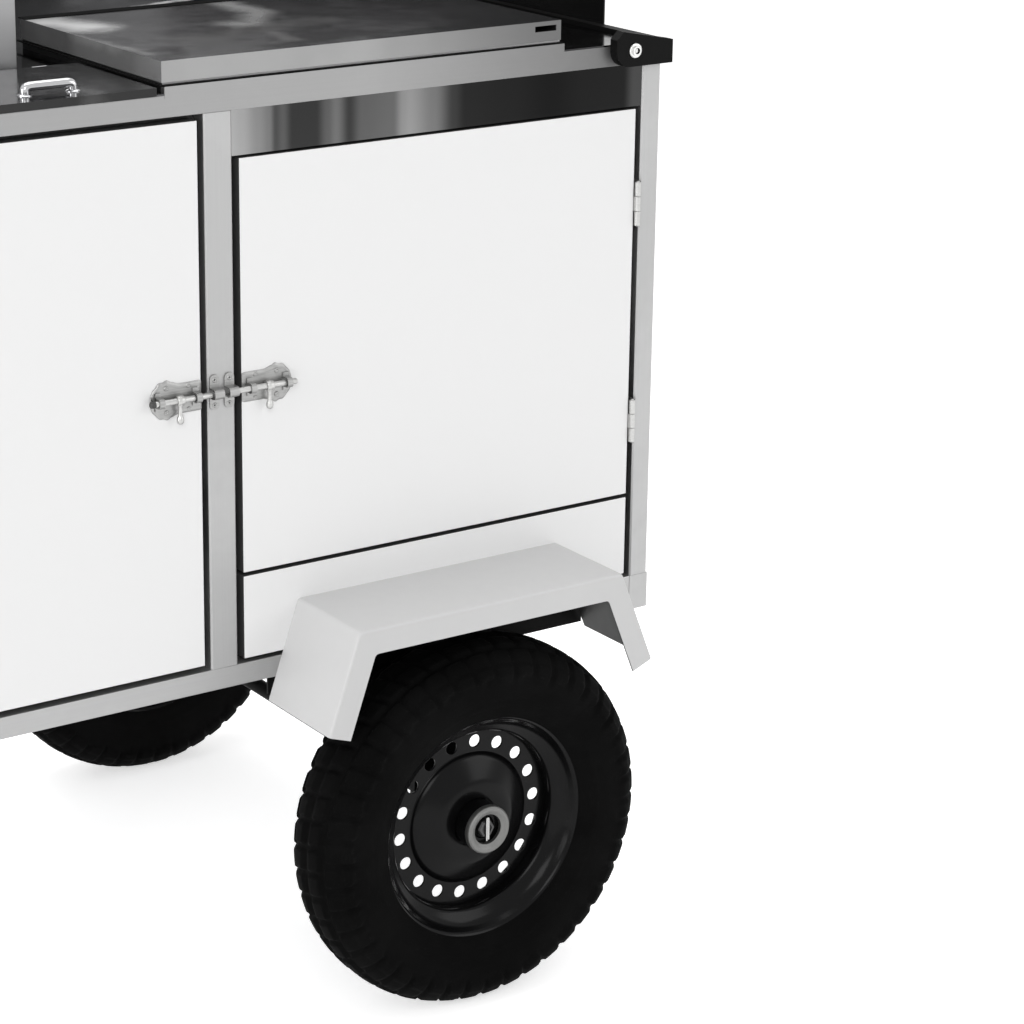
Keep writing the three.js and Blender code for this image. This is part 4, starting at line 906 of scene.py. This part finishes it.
# Pull of the hatch: a chromed bow of round bar, bent twice, with a flat round foot on each end that is
# screwed to the sheet from below.
PULL_BAR = 0.0047
PULL_SHIFT = -0.0065
PULL_BEND = 0.006
FOOT_PROFILE = (
    # height over the hatch and radius of a foot
    (0, 0), (0, 0.0075), (0.0006, 0.0075), (0.0016, 0.006), (0.0020, 0.0045), (0.0020, 0),
)
CHROME_TONE = (0.52, 0.52, 0.53)


def tube(path, radius, up, columns=20):
    """A round bar along a path in one plane: at each point a circle across the path, square to it."""
    path, up = np.asarray(path, float), np.asarray(up, float)
    aside = np.cross(heading(path), up)
    turn = whole_turn(columns)
    radius = np.broadcast_to(radius, len(path))[:, None, None]
    circle = np.cos(turn)[None, :, None] * aside[:, None] + np.sin(turn)[None, :, None] * up
    return loops(path[:, None] + radius * circle)


chrome = new_material("pull_chrome", {"Metallic": 1.0, "Base Color": (*CHROME_TONE, 1), "Roughness": 0.08})[0]
pull_low, pull_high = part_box("hatch_pull")
pull_y = (pull_low.y + pull_high.y) / 2
base_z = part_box("ice_hatch")[1].z
foot_x = (pull_low.x + PULL_BAR + PULL_SHIFT, pull_high.x - PULL_BAR + PULL_SHIFT)
bow = rounded([(foot_x[0], pull_y, base_z), (foot_x[0], pull_y, pull_high.z - PULL_BAR),
               (foot_x[1], pull_y, pull_high.z - PULL_BAR), (foot_x[1], pull_y, base_z)],
              (PULL_BEND, PULL_BEND), 8)
feet = [spun(FOOT_PROFILE, (x, pull_y, base_z), (0, 0, 1)) for x in foot_x]
build("hatch_pull_bow", [tube(bow, PULL_BAR, (0, 1, 0))] + feet, "hatch", chrome,
      ["hatch_pull"])


# Guards: a polished sheet at the back, a black wing at the right end on its rail, and the bracket's bolt,
# whose head stands on a pale plated washer.
BOLT_FROM_END = 0.050
BOLT_OVER_PROFILE = 0.017
WASHER_RADIUS = 0.0078
WASHER_PROFILE = (
    # height over the bracket and share of the washer's radius: washer, then the dished head of the bolt
    (-0.0036, 0.0), (-0.0036, 1.0), (-0.0026, 1.0), (-0.0020, 0.94), (-0.0018, 0.74), (0.0002, 0.72),
    (0.0006, 0.64), (0.0006, 0.42), (-0.0012, 0.38), (-0.0012, 0.0),
)
RAIL_EDGE = 0.0006
BRIGHT_TONE = (0.72, 0.72, 0.71)
GUARD_REFLECTION_DARK = (0.05, 0.05, 0.051)
WING_TONE = (0.006, 0.006, 0.006)
RAIL_TONE = (0.005, 0.005, 0.005)
# The rear sheet's colour is held dark as painted reflection, as the worktop's is.
guard_metal = polished("polished_guard", GUARD_REFLECTION_DARK, GUARD_REFLECTION_DARK, roughness=0.05)
paint(guard_metal, "guard_rear")
black_gloss = enamel("black_gloss", WING_TONE, roughness=0.16, soil=0.0, shine=0.35)
black_satin = enamel("black_satin", RAIL_TONE, roughness=0.4, soil=0.0, shine=0.06)
paint(black_gloss, "guard_wing")
paint(black_satin, "guard_rail")
soften(RAIL_EDGE, "guard_rail")
bracket_low, bracket_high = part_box("guard_rail")
bolt_place = (bracket_high.x - BOLT_FROM_END, bracket_low.y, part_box("edge_profile")[0].z + BOLT_OVER_PROFILE)
bolt_head = [(height, share * WASHER_RADIUS) for height, share in WASHER_PROFILE]
bright_zinc = brushed_metal("zinc_bright", BRIGHT_TONE, 0.25, "x", smear=0.1)
build("bracket_bolt", [spun(bolt_head, bolt_place, (0, -1, 0))], "cabinet", bright_zinc, sharp=30)


# Mudguards: one strip of sheet bent twice over the wheel, with its outer edge folded down as a lip. It is
# enamelled pale grey, and near black on the faces that look downwards, all but its two cut ends.
MUDGUARD_SPREAD = (0.0365, 0.0422)
MUDGUARD_FEET = (0.006, 0.0075)
MUDGUARD_BEND = 0.004
MUDGUARD_FOLD = 0.0035
MUDGUARD_SHEET = 0.002
MUDGUARD_LIP = 0.027
MUDGUARD_GREY = 0.565
DOWNWARD_FACE_TONE = 0.012
DOWNWARDS = 0.2
CUT_END = (0.35, 0.937)
CUT_END_EDGE = 0.985


def mudguard_parts(low, high, side):
    """A mudguard as loops along its bent outline.

    Each corner of its cross-section has a depth out from the cabinet and an inset under the outer face. For
    an inset the outline is moved inwards with square corners first, then its bends are rounded alike.
    """
    width, fold, sheet, lip = high.y - low.y, MUDGUARD_FOLD, MUDGUARD_SHEET, MUDGUARD_LIP
    outer = rounded([(0, 0), (width, 0), (width, lip)], (fold,), 6)
    inner = rounded([(width - sheet, lip), (width - sheet, sheet), (0, sheet)], (fold - sheet,), 6)
    section = np.concatenate([outer, inner])
    corners = np.array([(low.x, low.z + MUDGUARD_FEET[0]), (low.x + MUDGUARD_SPREAD[0], high.z),
                        (high.x - MUDGUARD_SPREAD[1], high.z), (high.x, low.z + MUDGUARD_FEET[1])])
    run = np.diff(corners, axis=0)
    run /= np.linalg.norm(run, axis=1, keepdims=True)
    square = np.stack([run[:, 1], -run[:, 0]], 1)
    before, after = np.concatenate([square[:1], square]), np.concatenate([square, square[-1:]])
    mitre = (before + after) / (1 + (before * after).sum(1, keepdims=True))
    paths = [rounded(corners + inset * mitre, (MUDGUARD_BEND, MUDGUARD_BEND), 8) for inset in section[:, 1]]
    place = np.stack(paths, 1)
    cabinet = low.y if side > 0 else high.y
    depth = np.broadcast_to(cabinet + side * section[:, 0], place.shape[:2])
    return loops(np.stack([place[..., 0], depth, place[..., 1]], -1))


grey_enamel = enamel("grey_enamel", (MUDGUARD_GREY,) * 3, roughness=0.42)
cover(grey_enamel, facing(grey_enamel, (0, 0, -1), edge=DOWNWARDS), DOWNWARD_FACE_TONE)
for way in (-1, 1):
    cut_end = facing(grey_enamel, (way * CUT_END[0], 0, -CUT_END[1]), edge=CUT_END_EDGE)
    cover(grey_enamel, cut_end, MUDGUARD_GREY)
for end, side in (("front", -1), ("rear", 1)):
    build(f"mudguard_folded_{end}", [mudguard_parts(*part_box(f"mudguard_{end}"), side)], "cabinet",
          grey_enamel, [f"mudguard_{end}"], sharp=35)


# Axle: a turned steel shaft, stepped down between its two journals and held by two plate hangers. Each hanger
# is welded with a gusset to a chassis angle under that side of the frame, and all of it is painted black.
tyre_low, tyre_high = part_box("tyre_front")
WHEEL_X = (tyre_low.x + tyre_high.x) / 2
WHEEL_Z = (tyre_low.z + tyre_high.z) / 2
HANGER_FACE = -0.297
HANGER_SHEET = 0.008
HANGER_TOP = (-0.008, 0.075)
HANGER_FOOT = (-0.020, 0.025)
HANGER_CUT = 0.010
JOURNAL_RADIUS = 0.0125
JOURNAL_CHAMFER = 0.001
SHAFT_RADIUS = 0.0088
ANGLE_LOW = 0.3635
ANGLE_WIDTH = 0.020
ANGLE_SHEET = 0.0025
ANGLE_SPAN = (0.134, 0.5375)
GUSSET = (
    # x and z of the plate's corners that joins the chassis angle to the hanger
    (0.240, 0.3650), (0.252, 0.3360), (0.300, 0.3300), (0.336, 0.3120), (0.336, 0.3650),
)


def prism(outline, depth_from, depth_to):
    """An outline of x and z pairs drawn out between two depths."""
    outline = np.asarray(outline, float)
    return loops(np.stack([np.stack([outline[:, 0], np.full(len(outline), y), outline[:, 1]], 1)
                           for y in (depth_from, depth_to)]))


beam_low, beam_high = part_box("axle")
journal = beam_high.y + HANGER_FACE + HANGER_SHEET
half_shaft = [(0, 0), (0, JOURNAL_RADIUS - JOURNAL_CHAMFER), (JOURNAL_CHAMFER, JOURNAL_RADIUS),
              (journal, JOURNAL_RADIUS), (journal, SHAFT_RADIUS)]
shaft = half_shaft + [(beam_high.y - beam_low.y - along, radius) for along, radius in half_shaft[::-1]]
spindle = spun(shaft, (WHEEL_X, beam_low.y, WHEEL_Z), (0, 1, 0), 48)
hanger = [(WHEEL_X + across, height) for across, height in (
    (HANGER_TOP[0], beam_high.z), (HANGER_FOOT[0], beam_low.z + HANGER_CUT),
    (HANGER_FOOT[0] + HANGER_CUT, beam_low.z), (HANGER_FOOT[1] - HANGER_CUT, beam_low.z),
    (HANGER_FOOT[1], beam_low.z + HANGER_CUT), (HANGER_TOP[1], beam_high.z))]
hangers = [prism(hanger, side * HANGER_FACE, side * (HANGER_FACE + HANGER_SHEET)) for side in (1, -1)]
build("axle_welded", [spindle] + hangers, "cabinet", black_satin, ["axle"], sharp=30)
for end, side in (("front", 1), ("rear", -1)):
    web = [(side * HANGER_FACE - side * reach, z) for reach, z in (
        (ANGLE_SHEET, beam_high.z), (ANGLE_SHEET, ANGLE_LOW), (0.0, ANGLE_LOW),
        (0.0, beam_high.z - ANGLE_SHEET), (-ANGLE_WIDTH, beam_high.z - ANGLE_SHEET),
        (-ANGLE_WIDTH, beam_high.z))]
    angle = loops(np.array([[(x, y, z) for y, z in web] for x in ANGLE_SPAN]))
    gusset = prism(GUSSET, side * (HANGER_FACE - ANGLE_SHEET), side * HANGER_FACE)
    build(f"chassis_angle_{end}", [angle, gusset], "cabinet", black_satin, sharp=30)


# Wheels: barrow tyres on pressed steel rims. A tyre is moulded rubber with a row of lugs over each
# shoulder; a rim is a rolled barrel with a dished disc welded in, pierced by eighteen holes, in black enamel.
WHEEL_PLANE = -(tyre_low.y + tyre_high.y) / 2
TYRE_RADIUS = (tyre_high.z - tyre_low.z) / 2
SECTION_MIDDLE = 0.1605
SECTION_HALF_WIDTH = (tyre_high.y - tyre_low.y) / 2
SECTION_DROP = 0.0548
TREAD_DEPTH = 0.0036
SHOULDER_LUGS = 44
SAMPLES_PER_LUG = 12
SECTION_SAMPLES = 88
BEAD_ANGLE = math.radians(46)
BLOCK_SLOPE = 0.05
TREAD_SQUARENESS = 0.72
SHOULDER_SQUARENESS = 0.8
LUG_SHARE, LUG_SLANT = 0.76, 0.16
LONG_LUG_SHARE = 0.36
LUG_INNER_END, LUG_OUTER_END = (0.60, 0.66), (0.965, 0.99)
RIB_SHARE, RIB_SLANT = 0.80, 0.35
LONG_LUG_REACH = 0.012
PUSH_FROM, PUSH_SHARE = 0.9, 0.35
RIB_INNER_END, RIB_OUTER_END = (0.08, 0.13), (0.47, 0.53)
SIDE_RINGS = (
    # height, radius and half width of each fine ring moulded on the side walls
    (0.0009, 0.1405, 0.0013), (0.0007, 0.1285, 0.0012), (0.0008, 0.1655, 0.0010),
)


def blocks(phase, share):
    """A row of blocks along a phase in turns: one inside each, nought in the gaps, with sloped sides."""
    distance = np.abs((phase % 1.0) - 0.5)
    return 1 - soft_step(share / 2 - BLOCK_SLOPE, share / 2 + BLOCK_SLOPE, distance)


def round_wheel(radius, depth, angle, side):
    """Wheel places: x and z are radius times cosine and sine about the axle, y the depth from its plane."""
    radius, depth, angle = np.broadcast_arrays(radius, depth, angle)
    return np.stack([
        WHEEL_X + radius * np.cos(angle),
        side * (WHEEL_PLANE + depth),
        WHEEL_Z + radius * np.sin(angle),
    ], -1)


def tyre_surface(side):
    """A tyre: a section that is an ellipse squared off towards the tread, carried round the axle, with lugs.

    Across the section an angle runs from bead to bead. Its sine gives the height above the widest place and
    its cosine the half width, each drawn towards a square on the outside. Lugs add their depth outwards along
    the section's own direction where the block rows stand, and fine rings ripple the side walls.
    """
    section = np.linspace(-BEAD_ANGLE, math.pi + BEAD_ANGLE, SECTION_SAMPLES)[:, None]
    turns = SHOULDER_LUGS * SAMPLES_PER_LUG
    turn = whole_turn(turns)[None, :]
    rise, reach = np.sin(section), np.cos(section)
    outer = TYRE_RADIUS - TREAD_DEPTH - SECTION_MIDDLE
    height = np.where(rise > 0, outer * np.abs(rise) ** TREAD_SQUARENESS, SECTION_DROP * rise)
    squareness = np.where(rise > 0, SHOULDER_SQUARENESS, 1.0)
    width = SECTION_HALF_WIDTH * np.sign(reach) * np.abs(reach) ** squareness
    across = np.abs(width) / SECTION_HALF_WIDTH
    phase = turn * SHOULDER_LUGS / (2 * np.pi)
    long_lug = blocks(phase / 2, LONG_LUG_SHARE)
    lug_row = blocks(phase + LUG_SLANT * across, LUG_SHARE)
    lug_end = 1 - soft_step(*LUG_OUTER_END, across * (1 - LONG_LUG_REACH + LONG_LUG_REACH * long_lug))
    shoulder = soft_step(*LUG_INNER_END, across) * (rise > 0) * lug_end
    middle = blocks(phase + 0.5 + RIB_SLANT * np.sign(width) * across, RIB_SHARE)
    ribs = soft_step(*RIB_INNER_END, across) * (1 - soft_step(*RIB_OUTER_END, across)) * (rise > 0)
    tread = TREAD_DEPTH * np.clip(shoulder * lug_row + ribs * middle, 0, 1)
    radius = SECTION_MIDDLE + height
    rings = sum(high * np.exp(-((radius - place) / wide) ** 2) for high, place, wide in SIDE_RINGS)
    push = tread + rings
    radius = radius + push * np.clip(rise, 0, 1)
    width = width + push * np.where(across > PUSH_FROM, reach, PUSH_SHARE * reach)
    return round_wheel(radius, width, turn, side)


def thickened(path, thickness):
    """A closed outline: the path moved half the thickness to one side, then back along the other side."""
    along = heading(path)
    aside = np.stack([-along[:, 1], along[:, 0]], 1) * thickness / 2
    return np.concatenate([path + aside, (path - aside)[::-1]])


def turned_parts(outline, side, columns=192):
    """A closed outline of radius and depth pairs carried once round the axle: points and faces."""
    outline = np.asarray(outline, float)
    points = round_wheel(outline[:, :1], outline[:, 1:], whole_turn(columns)[None, :], side)
    return points, grid_faces(len(outline), columns, close_rows=True, close_columns=True)


RIM_SHEET = 0.0026
RIM_BARREL = (
    # radius and depth of each corner of the rolled barrel, from the outer lip to the inner one, with its bend
    ((0.1238, 0.0328), 0.0), ((0.1214, 0.0312), 0.002), ((0.1150, 0.0205), 0.006),
    ((0.1018, 0.0130), 0.004), ((0.1018, -0.0130), 0.004), ((0.1150, -0.0205), 0.006),
    ((0.1214, -0.0312), 0.002), ((0.1238, -0.0328), 0.0),
)
DISC_HOLES = 18
DISC_HOLE_RADIUS = 0.007
DISC_RING_RADIUS = 0.086
DISC_HOLE_START = math.radians(4.2)
DISC_BAND = (0.0762, 0.1008)
DISC_PROFILE = (
    # radius and depth of the dished middle, from the band of holes in to the hub
    ((0.0762, 0.0), 0.0), ((0.0735, 0.0), 0.003), ((0.0700, 0.0050), 0.004), ((0.0430, 0.0165), 0.006),
    ((0.0273, 0.0165), 0.0),
)
STEPS_PER_SIDE = 6
HOLE_STEPS, HOLE_EASE = 5, 1.4
HOLE_EDGE = 0.0006


def profile_path(table):
    """The rounded path through a table of places, each with the radius of its bend."""
    return rounded([place for place, _ in table], [bend for _, bend in table[1:-1]])


def hole_band(side):
    """The band of the disc with the holes: one ring patch per hole, between its edge and its cell's edge.

    A cell is a sector of the band. Its edge is walked at even steps along its four sides, and each point is
    joined to the hole's edge in its own direction by steps that ease outwards.
    """
    half = np.pi / DISC_HOLES
    t = np.linspace(-1, 1, 2 * STEPS_PER_SIDE + 1)[:-1]
    low, high = DISC_BAND
    mean, reach = (low + high) / 2, (high - low) / 2
    cell_angle = np.concatenate([half * t, np.full_like(t, half), -half * t, np.full_like(t, -half)])
    cell_radius = np.concatenate([
        np.full_like(t, low), mean + reach * t, np.full_like(t, high), mean - reach * t])
    out_x = cell_radius * np.cos(cell_angle) - DISC_RING_RADIUS
    out_z = cell_radius * np.sin(cell_angle)
    length = np.hypot(out_x, out_z)
    hole_x, hole_z = out_x * DISC_HOLE_RADIUS / length, out_z * DISC_HOLE_RADIUS / length
    ease = np.linspace(0, 1, HOLE_STEPS)[:, None] ** HOLE_EASE
    local_x = DISC_RING_RADIUS + hole_x + ease * (out_x - hole_x)
    local_z = hole_z + ease * (out_z - hole_z)
    radius, angle = np.hypot(local_x, local_z), np.arctan2(local_z, local_x)
    faces = grid_faces(len(ease), len(cell_angle), close_columns=True)
    return [(round_wheel(radius, 0.0, angle + DISC_HOLE_START + hole * 2 * half, side), faces)
            for hole in range(DISC_HOLES)]


def disc_parts(side):
    """The disc as one sheet: the dished middle turned about the axle, and the band of holes outside it."""
    columns = DISC_HOLES * 2 * STEPS_PER_SIDE
    path = profile_path(DISC_PROFILE)
    start = DISC_HOLE_START - np.pi / DISC_HOLES
    points = round_wheel(path[:, :1], path[:, 1:], start + whole_turn(columns)[None, :], side)
    return [(points, grid_faces(len(path), columns, close_columns=True))] + hole_band(side)


HUB_PROFILE = (
    # radius and depth of the hub: barrel, recess for the nut, bore and the flange that the disc is bolted to
    (0.0266, 0.0150), (0.0266, 0.0385), (0.0170, 0.0385), (0.0167, 0.0320), (0.0130, 0.0315),
    (0.0130, -0.0370), (0.0262, -0.0380), (0.0268, -0.0370), (0.0268, 0.0090), (0.0400, 0.0090),
    (0.0400, 0.0140), (0.0266, 0.0140),
)
HUB_COLUMNS = 96
HUB_RING = (
    # radius and depth of the galvanised ring pressed on the hub's mouth, with its rolled edge
    (0.0268, 0.0360), (0.0268, 0.0400), (0.0262, 0.0418), (0.0248, 0.0430), (0.0222, 0.0430),
    (0.0206, 0.0424), (0.0192, 0.0410), (0.0178, 0.0406), (0.0168, 0.0398), (0.0165, 0.0360),
)
NUT_RADIUS = 0.0105
NUT_LENGTH = 0.0070
NUT_DEPTH = 0.0313
NUT_CORNER = 0.97
NUT_RINGS = (
    # shares of the radius and of the length, from the nut's foot over its chamfer into its mouth
    (0.0, 0.0), (1.0, 0.0), (1.0, 0.75), (0.86, 1.0), (0.62, 1.0), (0.58, 0.8), (0.0, 0.8),
)
NUT_COLUMNS = 48
PIN_RADIUS = 0.0011
PIN_REACH = 0.0128
PIN_BEND = 0.001
TYRE_TONE = 0.0018
RIM_TONE = (0.0030, 0.0030, 0.0032)
GALVANISED_TONE = (0.21, 0.21, 0.205)
NUT_TONE = (0.10, 0.10, 0.10)


def castle_nut(side):
    """A six-sided nut as rings along the axle: the radius is the flat's distance over the cosine of the angle
    to the nearest flat, and a chamfer takes the corners off the outer ring."""
    angle = whole_turn(NUT_COLUMNS)
    hexagon = NUT_RADIUS * math.cos(math.pi / 6) / np.cos((angle % (np.pi / 3)) - np.pi / 6)
    share, along = np.array(NUT_RINGS).T[..., None]
    radius = np.minimum(hexagon * share, NUT_RADIUS * np.minimum(share, NUT_CORNER))
    return loops(round_wheel(radius, NUT_DEPTH + NUT_LENGTH * along, angle[None, :], side))


def split_pin(side):
    """A split pin: one wire bent back on itself at its head, with its two legs side by side down the nut."""
    depth = side * (WHEEL_PLANE + NUT_DEPTH + NUT_LENGTH + PIN_RADIUS)
    ends = ((-PIN_RADIUS, -PIN_REACH), (-PIN_RADIUS, PIN_REACH), (PIN_RADIUS, PIN_REACH),
            (PIN_RADIUS, -PIN_REACH * 0.9))
    legs = rounded([(WHEEL_X + across, depth, WHEEL_Z + up) for across, up in ends], (PIN_BEND, PIN_BEND), 5)
    return tube(legs, PIN_RADIUS, (0, 1, 0), 12)


tyre_rubber = rubber("tyre_rubber", TYRE_TONE, dust=0.002, shine=0.035)
rim_enamel = enamel("rim_enamel", RIM_TONE, roughness=0.16, soil=0.0, shine=0.12)
hub_metal = brushed_metal("hub_galvanised", GALVANISED_TONE, 0.42, "y", smear=0.35)
nut_metal = brushed_metal("nut_dark", NUT_TONE, 0.45, "y", smear=0.35)
for end, side in (("front", -1), ("rear", 1)):
    tyre_points = tyre_surface(side)
    build(f"tyre_moulded_{end}", [(tyre_points, grid_faces(*tyre_points.shape[:2], close_columns=True))],
          f"{end}_wheel", tyre_rubber, [f"tyre_{end}"], sharp=60)
    rolled = thickened(profile_path(RIM_BARREL), RIM_SHEET)
    build(f"rim_barrel_{end}", [turned_parts(rolled, side)], f"{end}_wheel", rim_enamel,
          [f"rim_{end}"])
    disc = build(f"rim_disc_{end}", disc_parts(side), f"{end}_wheel", rim_enamel)
    wall = disc.modifiers.new("sheet", "SOLIDIFY")
    wall.thickness = RIM_SHEET
    wall.offset = 0
    bevel_edges(disc, HOLE_EDGE, 50)
    build(f"hub_barrel_{end}", [turned_parts(HUB_PROFILE, side, HUB_COLUMNS)], f"{end}_wheel",
          rim_enamel, [f"hub_{end}"], sharp=30)
    build(f"hub_ring_{end}", [turned_parts(HUB_RING, side, HUB_COLUMNS)], f"{end}_wheel", hub_metal,
          sharp=30)
    build(f"axle_nut_castle_{end}", [castle_nut(side)], "cabinet", nut_metal, [f"axle_nut_{end}"],
          sharp=30)
    build(f"split_pin_{end}", [split_pin(side)], "cabinet", zinc)


# Legs, feet, push handle and grip: the handle is one aluminium tube bent at both ends, with a ribbed rubber
# sleeve pushed on its middle, and each parking leg stands in a moulded rubber cup.
HANDLE_RADIUS = 0.0125
HANDLE_BEND = 0.045
GRIP_RIBS = 30
GRIP_WALL = 0.0035
GRIP_RIB = 0.0012
FOOT_EDGE = 0.0025
FOOT_TONE = 0.02
foot_rubber = rubber("foot_rubber", FOOT_TONE)
paint(foot_rubber, "foot_front", "foot_rear")
soften(FOOT_EDGE, "foot_front", "foot_rear", segments=3)
handle_low, handle_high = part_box("push_handle")
handle_z = (handle_low.z + handle_high.z) / 2
arm_y = handle_high.y - HANDLE_RADIUS
bar_x = handle_low.x + HANDLE_RADIUS
route = rounded([(handle_high.x, -arm_y, handle_z), (bar_x, -arm_y, handle_z), (bar_x, arm_y, handle_z),
                 (handle_high.x, arm_y, handle_z)], (HANDLE_BEND, HANDLE_BEND), 14)
build("push_handle_tube", [tube(route, HANDLE_RADIUS, (0, 0, 1), 40)], "cabinet",
      post_metal, ["push_handle"])
grip_low, grip_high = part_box("handle_grip")
grip_half = (grip_high.y - grip_low.y) / 2
along = np.linspace(-grip_half, grip_half, GRIP_RIBS * 8 + 1)
phase = 2 * np.pi * GRIP_RIBS * (along + grip_half) / (2 * grip_half)
ribbed = HANDLE_RADIUS + GRIP_WALL - GRIP_RIB * (0.5 - 0.5 * np.cos(phase))
bore = HANDLE_RADIUS * 0.98
sleeve = np.concatenate([[(-grip_half, bore)], np.stack([along, ribbed], 1), [(grip_half, bore)]])
build("handle_grip_ribbed", [spun(sleeve, (bar_x, 0, handle_z), (0, 1, 0), 48)],
      "cabinet", foot_rubber, ["handle_grip"])
